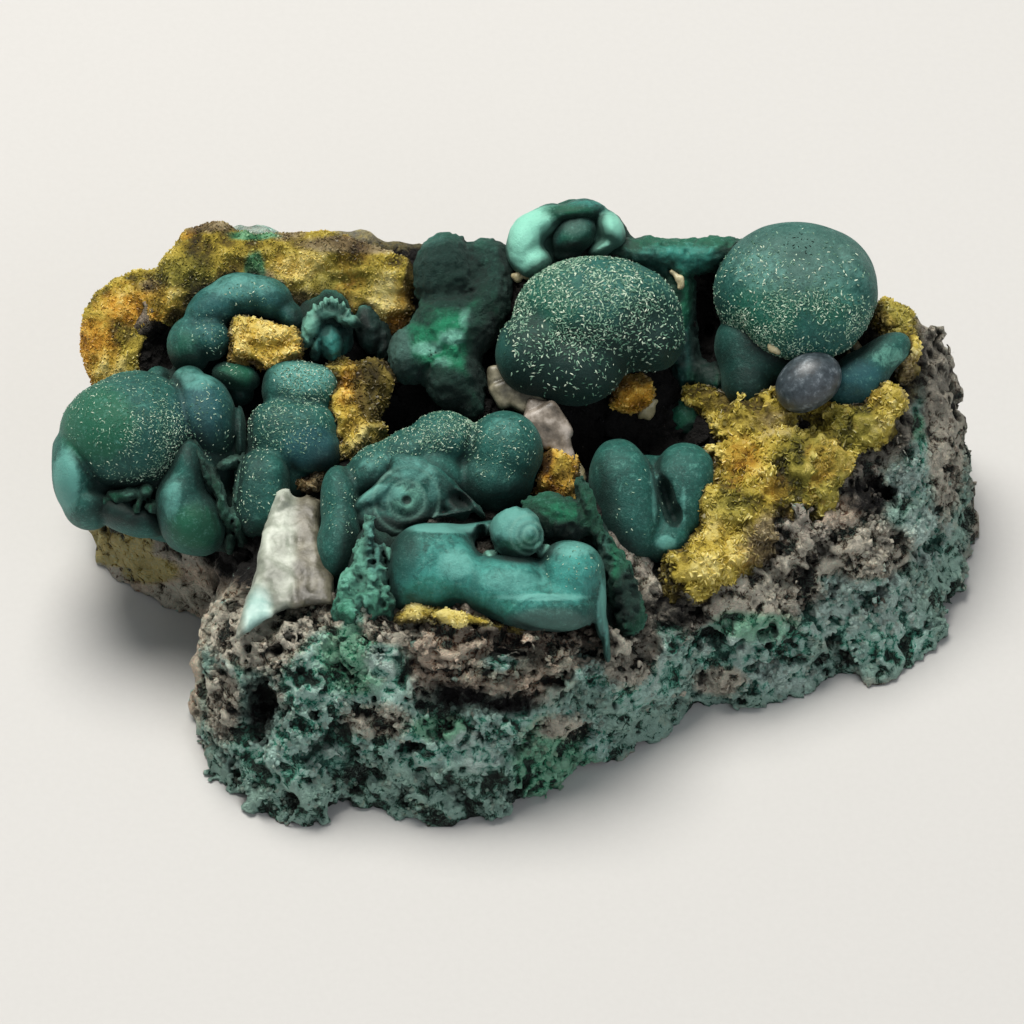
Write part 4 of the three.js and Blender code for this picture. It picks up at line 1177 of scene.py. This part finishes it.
def painted_crevice_shade(given, closed, free, most, colour):
    """A layer of painted shade, dark where a surface isn't open."""
    inputs = {"Value": given.open, "From Min": closed, "From Max": free, "To Min": most, "To Max": 0}
    return node(given.tree, RANGE, inputs), linear(colour)


def velvety_malachite(name, deep, middle, tips, needle, warp, felted, strength, depth, roughness):
    """Botryoidal malachite: a felt of fine radiating needles, so a dull velvet with paler tips. The needles
    are drawn as coarse as they need to be to show."""
    given = started(name, {
        "cloud": (5, 4, 0.6, 0), "mottle": (1.1, 5, 0.7, 0.6), "felt": (needle, 4, 0.7, warp),
        "dust": (0.5, 4, 0.8, 0),
    }, ["open", "band", *TINT_COLOURS])
    tree = given.tree
    bloom = node(tree, RANGE, {
        "Value": given.dust, "From Min": 0.54, "From Max": 0.7, "To Min": 0, "To Max": 0.4,
    })
    light = weighted(given, 1, (given.dark, -1))
    colour = layered(
        given, node(tree, RAMP, {"Fac": given.cloud}, stops=[(0.3, deep), (0.7, middle)]),
        (0.36, node(tree, RAMP, {"Fac": given.mottle}, stops=[(0.32, 0x082621), (0.52, 0x1F6257),
                                                              (0.72, 0x4A978A)])),
        (felted, node(tree, RAMP, {"Fac": given.felt}, stops=[(0.3, deep), (0.75, tips)])),
        # colour zones by kind: dark lays mostly painted shade, pale partly a painted highlight
        *[(patch(given, kind, given.mottle, 1.9, most), linear(tint))
          for kind, (tint, most) in TINT_COLOURS.items()],
        (weighted(given, 0, (bloom, light)), linear(0x72AEA2)),
        # painted shade where the malachite isn't open
        painted_crevice_shade(given, 0.35, 0.95, 0.8, 0x06110F),
        (weighted(given, 0, (given.band, 0.35)), linear(0x7FB2A4)),
    )
    return finished(given, {
        "Base Color": colour, "Roughness": roughness, "IOR": 1.65, "Specular IOR Level": 0.24,
        "Sheen Weight": 0.1, "Sheen Roughness": 0.4, "Sheen Tint": linear(0x9FD3C7),
    }, strength, depth, weighted(given, given.felt, (given.mottle, 1)))


def pale_druse():
    """Specks of calcite or cerussite dusted on the malachite: greenish cream, slightly glassy."""
    given = started("pale_druse", {}, ["tone"])
    colour = node(given.tree, RAMP, {"Fac": given.tone}, stops=[
        (0, 0x34604F), (0.5, 0x6C9880), (0.8, 0xA4C4AC), (1, 0xD6E4CE),
    ])
    return finished(given, {"Base Color": colour, "Roughness": 0.5, "IOR": 1.6, "Specular IOR Level": 0.3})


def crust_colour(given, mixed, stops):
    """Colour of the crusts from dark to light, with their patches, shade among them a painted shade, and a
    painted shade where a crust isn't open.
    """
    return layered(
        given, node(given.tree, RAMP, {"Fac": mixed}, stops=stops),
        *[(patch(given, kind, given.ragged, 2.4, most), node(given.tree, RAMP, {"Fac": mixed}, stops=shades))
          for kind, (shades, most) in CRUST_COLOURS.items()],
        # painted shade where the crust isn't open
        painted_crevice_shade(given, 0.25, 0.72, 0.8, 0x1A130A),
    )


def honey_wulfenite():
    """Wulfenite tablets: honey yellow to orange and olive, sugary, with a resinous gloss."""
    given = started("honey_wulfenite", {
        "cloud": (3.2, 4, 0.6, 0), "ragged": (1.6, 5, 0.7, 0.8),
    }, ["tone", "relief", "open", *CRUST_COLOURS])
    mixed = weighted(given, 0.05, (given.tone, 0.24), (given.cloud, 0.42), (given.relief, 0.34))
    colour = crust_colour(given, mixed, [
        (0.28, 0x3C3614), (0.42, 0x776E25), (0.54, 0xA69636), (0.66, 0xC8B54C), (0.82, 0xE8DE96),
    ])
    return finished(given, {
        "Base Color": colour, "Roughness": 0.5, "IOR": 1.9, "Specular IOR Level": 0.25,
        "Subsurface Weight": 0.15, "Subsurface Radius": (0.0008, 0.0005, 0.0001),
    })


def crust_bed():
    """Massive wulfenite and limonite under the tablets: rough, dull, darker in its pits."""
    given = started("crust_bed", {
        "fine": (0.5, 4, 0.7, 0), "cloud": (3.5, 3, 0.6, 0), "ragged": (1.6, 5, 0.7, 0.8),
    }, ["relief", "open", *CRUST_COLOURS])
    mixed = weighted(given, 0, (given.fine, 0.5), (given.cloud, 0.2), (given.relief, 0.4))
    colour = crust_colour(given, mixed, [
        (0.3, 0x1E160A), (0.42, 0x574A16), (0.56, 0x94832A), (0.75, 0xC2AE4C),
    ])
    return finished(given, {
        "Base Color": colour, "Roughness": 0.7, "Specular IOR Level": 0.3,
    }, 1, 0.4, given.fine)


def broken_gossan():
    """Gossan: brown iron-oxide rock, granular and pitted, with films of malachite in its pores."""
    given = started("broken_gossan", {
        "fine": (0.5, 5, 0.75, 0), "medium": (1.7, 5, 0.7, 0.5), "broad": (4, 5, 0.7, 0.8),
        "worms": (1.3, 4, 0.6, 2.6),
    }, ["relief", "tone", "open", *HIDDEN_STAINS])
    tree = given.tree
    off_crest = node(tree, MATH, {0: weighted(given, -0.5, (given.worms, 1))}, operation="ABSOLUTE")
    crumbs = node(tree, "ShaderNodeTexVoronoi", {"Vector": given.place, "Scale": per(0.95)})
    crumb_tone = node(tree, "ShaderNodeSeparateColor", {"Color": crumbs.node.outputs["Color"]})
    crumb_edge = node(tree, MATH, {0: weighted(given, -0.3, (crumbs, 1)), 1: 0}, operation="MAXIMUM")
    proud = weighted(
        given, 0, (given.relief, 0.75), (given.fine, 0.42), (given.medium, 0.42), (off_crest, -1.7),
        (given.tone, 0.32), (crumb_edge, -0.65), (crumb_tone, 0.2),
    )
    proud = weighted(given, -0.44, (proud, 1.65))
    strewn = node(tree, MATH, {0: given.tone, 1: 0.7}, operation="GREATER_THAN")
    loose = weighted(given, 0, (strewn, weighted(given, 0.35, (given.grains, 1))))
    flakes = weighted(given, 0.5, (off_crest, -14))
    colour = layered(
        given, node(tree, RAMP, {"Fac": proud}, stops=[(0.22, 0x0D0A08), (0.4, 0x33271F), (0.55, 0x5E4F42),
                                                       (0.7, 0x8B7E70), (0.85, 0xC4BAAC)]),
        *[(patch(given, kind, vars(given)[breaker], sharp), node(tree, RAMP, {"Fac": proud}, stops=stops))
          for kind, (breaker, sharp, stops) in FILMS.items()],
        (node(tree, MATH, {0: loose, 1: 0.8}, operation="MINIMUM"),
         node(tree, RAMP, {"Fac": given.fine}, stops=[(0.35, 0x4A3D32), (0.5, 0x8A7C6C), (0.68, 0xC2B6A4)])),
        (node(tree, MATH, {0: flakes, 1: 0}, operation="MAXIMUM"),
         node(tree, RAMP, {"Fac": given.medium}, stops=[(0.35, 0x365848), (0.5, 0x7CA692),
                                                        (0.65, 0xBEDCCC)])),
        # near black: painted shade where dark is set on the display side, dark stains on the unseen sides
        (patch(given, "dark", given.medium, 1.6), linear(0x0C0908)),
        # painted shade where the gossan isn't open
        painted_crevice_shade(given, 0.2, 0.7, 0.7, 0x0A0807),
    )
    height = weighted(given, given.fine, (given.medium, 1.5), (off_crest, -4), (crumb_edge, -3))
    return finished(given, {
        "Base Color": colour, "Roughness": 0.75, "Specular IOR Level": 0.4,
    }, 1, 0.4, height)


def frosted_calcite():
    """Calcite prism: off-white, frosted, faintly see-through, with painted shade greying its right side."""
    given = started("frosted_calcite", {
        "cloud": (4, 4, 0.6, 0), "frost": (0.8, 4, 0.6, 0),
    }, ["grey", "teal", "cream"])
    clean, shaded_side, cream = [
        node(given.tree, RAMP, {"Fac": given.cloud}, stops=stops) for stops in (
            [(0.36, 0x6E7468), (0.5, 0x959C8F), (0.64, 0xC2CABD)],
            [(0.36, 0x38362A), (0.5, 0x625F50), (0.66, 0x8E8B7C)],
            [(0.36, 0x9C8E64), (0.64, 0xD8CCA0)],
        )
    ]
    stained = weighted(given, 0, (given.teal, 0.6))
    # grey lays painted shade on the prism's right side
    colour = layered(given, clean, (given.grey, shaded_side), (stained, linear(0x9FD6D0)), (given.cream, cream))
    return finished(given, {
        "Base Color": colour, "Roughness": 0.45, "IOR": 1.6, "Subsurface Weight": 0.25,
        "Subsurface Radius": (0.002, 0.002, 0.0018),
    }, 0.5, 0.2, given.frost)


def grey_quartz():
    """Quartz crusts: brownish grey, waxy, with pale frosted edges."""
    given = started("grey_quartz", {"cloud": (1.8, 4, 0.6, 0)}, ["olive"])
    grey, brown = [
        node(given.tree, RAMP, {"Fac": given.cloud}, stops=stops) for stops in (
            [(0.32, 0x48423A), (0.5, 0x7E756A), (0.68, 0xB9B0A6)],
            [(0.32, 0x2E2C20), (0.5, 0x5C5A46), (0.68, 0x8C886E)],
        )
    ]
    colour = layered(given, grey, (given.olive, brown))
    return finished(given, {"Base Color": colour, "Roughness": 0.4}, 0.4, 0.2, given.cloud)


def dusty_bead():
    """The slate-blue bead: a smooth dark nodule with a thin dusty bloom."""
    given = started("dusty_bead", {"bloom": (0.9, 5, 0.7, 0)})
    colour = node(given.tree, RAMP, {"Fac": given.bloom}, stops=[
        (0.35, 0x222C32), (0.55, 0x404B52), (0.72, 0x7C878E),
    ])
    return finished(given, {"Base Color": colour, "Roughness": 0.42, "IOR": 1.6}, 0.3, 0.15, given.bloom)


def studio_floor():
    """Matt pale paper under the specimen."""
    given = started("studio_floor", {"tooth": (0.8, 3, 0.6, 0)})
    colour = node(given.tree, RAMP, {"Fac": given.tooth}, stops=[(0.3, 0xC6C6C5), (0.7, 0xC8C8C7)])
    return finished(given, {"Base Color": colour, "Roughness": 0.9})


def scatter_tree(shape, material, mask_name):
    """Geometry nodes that strew a shape over a surface, as densely as an attribute says, as a plain mesh."""
    tree = bpy.data.node_groups.new("scatter_" + shape.name, "GeometryNodeTree")
    sizes = ("Density", "Smallest", "Largest", "Tilt", "Lift")
    for name, kind in [("Surface", "Geometry"), *[(size, "Float") for size in sizes], ("Seed", "Int")]:
        tree.interface.new_socket(name, in_out="INPUT", socket_type="NodeSocket" + kind)
    tree.interface.new_socket("Crystals", in_out="OUTPUT", socket_type="NodeSocketGeometry")
    given = tree.nodes.new("NodeGroupInput").outputs
    mask = node(tree, "GeometryNodeInputNamedAttribute", {"Name": mask_name}, "Attribute", data_type="FLOAT")
    density = node(tree, MATH, {0: given["Density"], 1: mask}, operation="MULTIPLY")
    spread = node(tree, "GeometryNodeDistributePointsOnFaces", {
        "Mesh": given["Surface"], "Density": density, "Seed": given["Seed"],
    }).node.outputs
    turn = node(tree, "FunctionNodeRandomValue", {
        "Min": (-HALF_TURN,) * 3, "Max": (HALF_TURN,) * 3, "Seed": given["Seed"],
    }, "Value", data_type="FLOAT_VECTOR")
    lean = node(tree, "ShaderNodeCombineXYZ", {"X": given["Tilt"], "Y": given["Tilt"], "Z": 1})
    tilted = node(tree, "ShaderNodeVectorMath", {0: turn, 1: lean}, operation="MULTIPLY")
    rotation = node(tree, "FunctionNodeRotateRotation", {
        "Rotation": spread["Rotation"], "Rotate By": tilted,
    }, rotation_space="LOCAL")
    size = node(tree, "FunctionNodeRandomValue", {
        "Min": given["Smallest"], "Max": given["Largest"], "Seed": 3,
    }, "Value", data_type="FLOAT")
    lift = node(tree, "ShaderNodeVectorMath", {
        "Vector": spread["Normal"], "Scale": given["Lift"],
    }, operation="SCALE")
    lifted = node(tree, "GeometryNodeSetPosition", {"Geometry": spread["Points"], "Offset": lift})
    crystal = node(tree, "GeometryNodeObjectInfo", {"Object": shape, "As Instance": True}, "Geometry")
    placed = node(tree, "GeometryNodeInstanceOnPoints", {
        "Points": lifted, "Instance": crystal, "Rotation": rotation, "Scale": size,
    })
    tone = node(tree, "FunctionNodeRandomValue", {"Seed": 5}, "Value", data_type="FLOAT")
    toned = node(tree, "GeometryNodeStoreNamedAttribute", {
        "Geometry": placed, "Name": "tone", "Value": tone,
    }, data_type="FLOAT", domain="INSTANCE")
    real = node(tree, "GeometryNodeRealizeInstances", {"Geometry": toned})
    dressed = node(tree, "GeometryNodeSetMaterial", {"Geometry": real, "Material": material})
    node(tree, "NodeGroupOutput", {"Crystals": dressed})
    return tree


def growth_distance(growth):
    """Distance to a malachite growth, in the face's axes."""
    fibre = growth.get("fibre", 0)

    def distance(x, y, z):
        total = lobes_distance(x, y, z, growth["lobes"], growth["blend"], growth.get("power", 2))
        for hollow in growth.get("hollows", []):
            total = smooth_max(total, -lobe_distance(x, y, z, hollow), 0.3)
        for at, radii, depth in growth.get("rings", []):
            radius = np.hypot(x - at[0], y - at[1])
            for ring in radii:
                total = total + depth * np.exp(-((radius - ring) / RING_WIDTH) ** 2)
        total = total + 0.22 * noise(x, y, z, 4.5, 10) + 0.07 * noise(x, y, z, 1.7, 11)
        if fibre:
            total = total + fibre * noise(x * 1.4, y, z, 0.9, 12)
            total = total + 0.6 * fibre * noise(x, y * 1.5, z, 0.5, 13)
        return total
    return distance


def ring_bands(growth, across, up):
    """Pale lines between a growth's ring grooves."""
    total = np.zeros_like(across)
    for at, radii, depth in growth.get("rings", []):
        radius = np.hypot(across - at[0], up - at[1])
        for ring in radii if depth > 0 else []:
            total = total + np.exp(-((radius - ring - 0.3) / RING_WIDTH) ** 2)
    return np.clip(total, 0, 1)


def crystal_shape(name, points):
    """A small closed crystal, as the hull of its points."""
    mesh = bpy.data.meshes.new(name)
    mesh.from_pydata(points, [], [])
    bm = bmesh.new()
    bm.from_mesh(mesh)
    bmesh.ops.convex_hull(bm, input=bm.verts)
    bm.to_mesh(mesh)
    bm.free()
    return linked(name, mesh)


def tablet_shape():
    """A square wulfenite tablet with bevelled edges, 1 across."""
    points = [
        (sx * half, sy * half, height)
        for half, height in ((0.36, 0.14), (0.5, 0), (0.36, -0.14)) for sx in (-1, 1) for sy in (-1, 1)
    ]
    return crystal_shape("tablet", points)


def speck_shape():
    """A stubby grain, 1 long."""
    sides = [(x, y, 0) for y in (0.14, -0.14) for x in (0.2, -0.2)]
    return crystal_shape("speck", [(0.5, 0, 0), (-0.5, 0, 0), *sides, (0, 0, 0.16), (0, 0, -0.16)])


def grain_shape():
    """A broken rock grain, 1 across."""
    random = np.random.default_rng(8)
    directions = random.normal(size=(10, 3))
    points = directions / np.linalg.norm(directions, axis=1)[:, None] * random.uniform(0.36, 0.5, (10, 1))
    return crystal_shape("grain", points.tolist())


def scattered(name, surface, tree, per_square_mm, sizes, tilt, lift, seed):
    """The crystals that a scatter tree strews over a surface, as a piece of their own, with sizes in mm."""
    values = {
        "Density": per_square_mm / MM ** 2, "Smallest": sizes[0] * MM, "Largest": sizes[1] * MM,
        "Tilt": tilt, "Lift": lift * MM, "Seed": seed,
    }
    piece = linked(name, surface.data)
    modifier = piece.modifiers.new("scatter", "NODES")
    modifier.node_group = tree
    for socket in tree.interface.items_tree:
        if socket.name in values:
            modifier[socket.identifier] = values[socket.name]
    take_result(piece)
    piece.data.name = name
    return piece


def make_malachite(druse_tree, materials):
    """Each growth, with its colour zones and the specks that dust it."""
    for name, growth in MALACHITE.items():
        fibre = growth.get("fibre", 0)
        step = FINE_STEP if fibre or "rings" in growth else GROWTH_STEP
        material = materials["fibrous" if fibre > 0.2 else "velvet"]
        piece, place = grown(name, growth_distance(growth), span(growth["lobes"], 0.8), step, material)
        across, up, _ = place
        set_attribute(piece, "open", openness(piece, *place))
        set_attribute(piece, "band", ring_bands(growth, across, up))
        for tint, zones in growth.get("tints", {}).items():
            set_attribute(piece, tint, painted(across, up, zones))
        if "specks" in growth:
            _, y, z = read_vectors(piece, "normal").T
            facing = half_over(up_and_out(y, z)[1], -0.25, 0.1)
            clumps = half_over(noise(*place, 2.2, 21), -1.1, 0.3)
            set_attribute(piece, "speckle", painted(across, up, growth["specks"], 0.3) * facing * clumps)
            sizes = growth.get("speck_sizes", USUAL_SPECKS)
            specks = scattered(name + "_specks", piece, druse_tree, 6, sizes, 0.2, 0.03, len(name))
            settle_in(specks)
        settle_in(piece, growth.get("node"))


def crust_relief(x, y, z):
    """Lumps of a crust, before its own roughness scales them."""
    broad = 0.5 * noise(x, y, z, 3.4, 30) + 0.4 * (0.5 - 1.6 * np.abs(noise(x, y, z, 2.2, 34)))
    return broad + 0.45 * noise(x, y, z, 1.5, 31) + 0.35 * noise(x, y, z, 0.8, 32)


def make_wulfenite(tablet_tree, bed):
    """Each crust or pad, seated on the gossan, with the tablets that cover it."""
    for name, crust in WULFENITE.items():
        lobes = [
            (x, y, foremost(face_rock, x, y, 45, -30) + rise, *rest) for x, y, *rest, rise in crust["lobes"]
        ]
        rough = crust["rough"]

        def distance(x, y, z):
            return lobes_distance(x, y, z, lobes, 1.6, crust["power"]) + 0.3 - rough * crust_relief(x, y, z)

        piece, place = grown(name, distance, span(lobes, 0.8), CRUST_STEP, bed)
        across, up, _ = place
        set_attribute(piece, "open", openness(piece, *place))
        set_attribute(piece, "relief", half_over(rough * crust_relief(*place), -0.7 * rough, 0.8 * rough))
        set_attribute(piece, "cover", half_over(noise(*place, 1.6, 33), -0.9, 0.2))
        for number, (colour, most) in enumerate(CRUST_DRIFT.items()):
            share = most * half_over(noise(*place, 3.6, 35 + number), 0, 0.6)
            if colour in crust["patches"]:
                share = np.maximum(share, painted(across, up, crust["patches"][colour], 0.7))
            set_attribute(piece, colour, share)
        cover, sizes = crust["cover"], crust["tablets"]
        tablets = scattered(name + "_tablets", piece, tablet_tree, cover, sizes, 0.6, 0.02, len(name))
        settle_in(tablets)
        settle_in(piece, crust["node"])


def make_gossan(grain_tree, material):
    """The rock, in a fine piece for the display side and a coarser one for the back."""
    for name, side, step in (("gossan_display", -1, ROCK_STEP), ("gossan_back", 1, BACK_STEP)):
        def distance(x, y, z):
            total = rock_distance(x, y, z)
            near = np.abs(total) < RELIEF_REACH if total.ndim == 3 else np.full(total.shape, True)
            total[near] -= rock_relief(*(np.broadcast_to(v, total.shape)[near] for v in (x, y, z)))
            half = side * (up_and_out(y, z)[1] - ROCK_SPLIT) - ROCK_OVERLAP
            return np.maximum(np.maximum(total, half), -z)

        vertices, quads = skin(distance, *ROCK_SPACE, step)
        vertices[:, 2] = np.maximum(vertices[:, 2], 0)
        piece = new_piece(name, MM * vertices, quads, material)
        thin_out(piece, ROCK_TRIANGLES)
        stain_gossan(piece)
        if side < 0:
            strewn = scattered(name + "_grains", piece, grain_tree, 3.6, (0.25, 1.1), 1.0, 0.05, 4)
            settle_in(strewn)
        settle_in(piece, "gossan_matrix")


def stain_gossan(piece):
    """Attributes that say where the rock is proud, open, stained, darkened by painted shade or covered in
    loose grains.
    """
    x, y, z = read_vectors(piece, "co").T / MM
    up, out = up_and_out(y, z)
    _, ny, nz = read_vectors(piece, "normal").T
    facing = up_and_out(ny, nz)[1]
    seen = half_over(facing, -0.3, 0.2)
    set_attribute(piece, "relief", half_over(rock_relief(x, y, z), -1.1, 0.4))
    set_attribute(piece, "open", openness(piece, x, up, out))
    for kind, (size, seed, low, high, most) in HIDDEN_STAINS.items():
        unseen = most * half_over(noise(x, y, z, size, seed), low, high)
        mask = painted(x, up, ROCK_STAINS[kind])
        # painted shade over the hollow of the display side
        if kind == "dark":
            mask = np.maximum(mask, 0.9 * zone_mask(x, up, *VUG, 0.25))
        set_attribute(piece, kind, mask * seen + unseen * (1 - seen))
    front = half_over(-up, -4, 0) + half_over(x, 22, 30) * half_over(-up + 0.75 * x, 10, 16)
    clusters = half_over(noise(x, y, z, 2.6, 49), -0.3, 0.4)
    coverage = np.clip(front, 0, 1) * half_over(facing, -0.3, 0.3) * half_over(z, 0.5, 1.5) * clusters
    set_attribute(piece, "coverage", coverage)


def make_bed(material):
    """Dark malachite that fills the hollow between the growths, sunk under all of them."""
    lobes = [lobe for growth in MALACHITE.values() for lobe in growth["lobes"]]

    def distance(x, y, z):
        near = sum(np.exp(-lobe_distance(x, y, z + BED_DROP, lobe) / BED_BLEND) for lobe in lobes)
        total = -BED_BLEND * np.log(near)
        return total + BED_SHRINK + 0.5 * noise(x, y, z, 3, 71) + 0.3 * np.abs(noise(x, y, z, 1.2, 72))

    piece, place = grown("malachite_bed", distance, span(lobes, 2.5), BED_STEP, material)
    set_attribute(piece, "open", openness(piece, *place))
    # dark in broad patches: partly darker malachite, partly painted shade for the gaps between the growths
    # where the bed shows
    set_attribute(piece, "dark", 0.35 + 0.5 * noise(*place, 5, 73))
    settle_in(piece)


def slab_distance(x, y, z, outline, back, front):
    """Distance to an upright slab of the pale prism."""
    depth = z + CALCITE_LEAN * (y - CALCITE_FOOT)
    thick = np.abs(depth - (back + front) / 2) - (front - back) / 2
    return smooth_max(outline_distance(x, y, outline), thick, 1.2)


def make_calcite(material):
    """The pale prism: slabs that lean back, with ribs along them."""
    def distance(x, y, z):
        total = joined((slab_distance(x, y, z, outline, *reach) for outline, reach in CALCITE_SLABS), 0.5)
        ribs = 0.32 * np.abs(noise(x * 1.4, y * 0.35, z, 1.7, 51))
        return total + ribs + 0.12 * noise(x, y, z, 1.3, 52) + 0.07 * noise(x, y, z, 0.6, 53)

    piece, place = grown("calcite", distance, CALCITE_SPACE, CALCITE_STEP, material)
    across, up, _ = place
    # grey: painted shade on the prism's right side
    set_attribute(piece, "grey", half_over(across + 0.5 * noise(*place, 1.5, 54), -24.6, -23.2))
    set_attribute(piece, "teal", zone_mask(across, up, (-27.4, 1), (1.4, 3)))
    settle_in(piece, "calcite_crystal")


def make_small_stones(materials):
    """The bead and the grey crystals."""
    for name, stone in STONES.items():
        def distance(x, y, z):
            total = lobes_distance(x, y, z, stone["lobes"], 0.1, stone["power"])
            return total + stone["rough"] * noise(x, y, z, stone["size"], 61)

        space = span(stone["lobes"], 0.5)
        piece, place = grown(name, distance, space, STONE_STEP, materials[stone["slot"]])
        set_attribute(piece, "olive", np.full_like(place[0], stone["olive"]))
        settle_in(piece, stone["node"])


def make_cream_chips(material):
    """Chips of calcite lodged between the growths."""
    for number, (across, up, wide, high, roll) in enumerate(CREAM_CHIPS):
        out = foremost(all_distance, across, up, 38, -12) + 0.2
        lobes = [(across, up, out, wide, high, min(wide, high), roll)]

        def distance(x, y, z):
            return lobes_distance(x, y, z, lobes, 0.1, 3.2) + 0.34 * noise(x, y, z, 0.7, 81 + number)

        piece, place = grown("cream_chip_%d" % (number + 1), distance, span(lobes, 0.3), CHIP_STEP, material)
        set_attribute(piece, "cream", np.full_like(place[0], 0.8))
        settle_in(piece)


def add_light(name, at, size, power, colour):
    """A soft round lamp that shines on the specimen."""
    light = bpy.data.lights.new(name, "AREA")
    light.shape = "DISK"
    light.size = size
    light.energy = power
    light.color = linear(colour)[:3]
    lamp = linked(name, light)
    lamp.location = at
    lamp.rotation_euler = (Vector(LIGHTS_TARGET) - Vector(at)).to_track_quat("-Z", "Y").to_euler()


def make_studio():
    """A pale paper floor, a dim even room and two soft lights."""
    mesh = bpy.data.meshes.new("floor")
    corners = [(x * FLOOR_REACH, y * FLOOR_REACH, 0) for x, y in ((-1, -1), (1, -1), (1, 1), (-1, 1))]
    mesh.from_pydata(corners, [], [(0, 1, 2, 3)])
    mesh.materials.append(studio_floor())
    linked("floor", mesh)
    world = bpy.data.worlds.new("studio")
    world.use_nodes = True
    fill(world.node_tree.nodes["Background"], {"Color": linear(0xE6E8EA), "Strength": 0.3})
    bpy.context.scene.world = world
    add_light("overhead", (-0.16, 0.22, 0.8), 0.55, 9.4, 0xFFFAF2)
    add_light("front_fill", (0.45, -0.75, 0.55), 0.7, 1.9, 0xF4F8FF)
    bpy.context.scene.view_settings.view_transform = "Standard"


def make_camera():
    """Telephoto view from 45 degrees above, as the photograph was taken."""
    camera = linked("camera", bpy.data.cameras.new("camera"))
    camera.data.sensor_width = SENSOR
    camera.data.lens = LENS
    camera.location = MM * np.array(CAMERA_TARGET) + CAMERA_DISTANCE * np.array([0, -FACE_LEAN, FACE_LEAN])
    camera.rotation_euler = (math.radians(45), 0, 0)
    bpy.context.scene.camera = camera


def make_specimen():
    """All of the minerals, each in its material."""
    shapes = [speck_shape(), tablet_shape(), grain_shape()]
    speck, tablet, grain = shapes
    gossan = broken_gossan()
    malachites = {kind: velvety_malachite(**finish) for kind, finish in VELVETS.items()}
    make_gossan(scatter_tree(grain, gossan, "coverage"), gossan)
    make_malachite(scatter_tree(speck, pale_druse(), "speckle"), malachites)
    make_bed(malachites["fibrous"])
    make_wulfenite(scatter_tree(tablet, honey_wulfenite(), "cover"), crust_bed())
    calcite = frosted_calcite()
    make_calcite(calcite)
    make_cream_chips(calcite)
    make_small_stones({"quartz": grey_quartz(), "dark_bead": dusty_bead()})
    for shape in shapes:
        bpy.data.objects.remove(shape)


make_specimen()
make_studio()
make_camera()
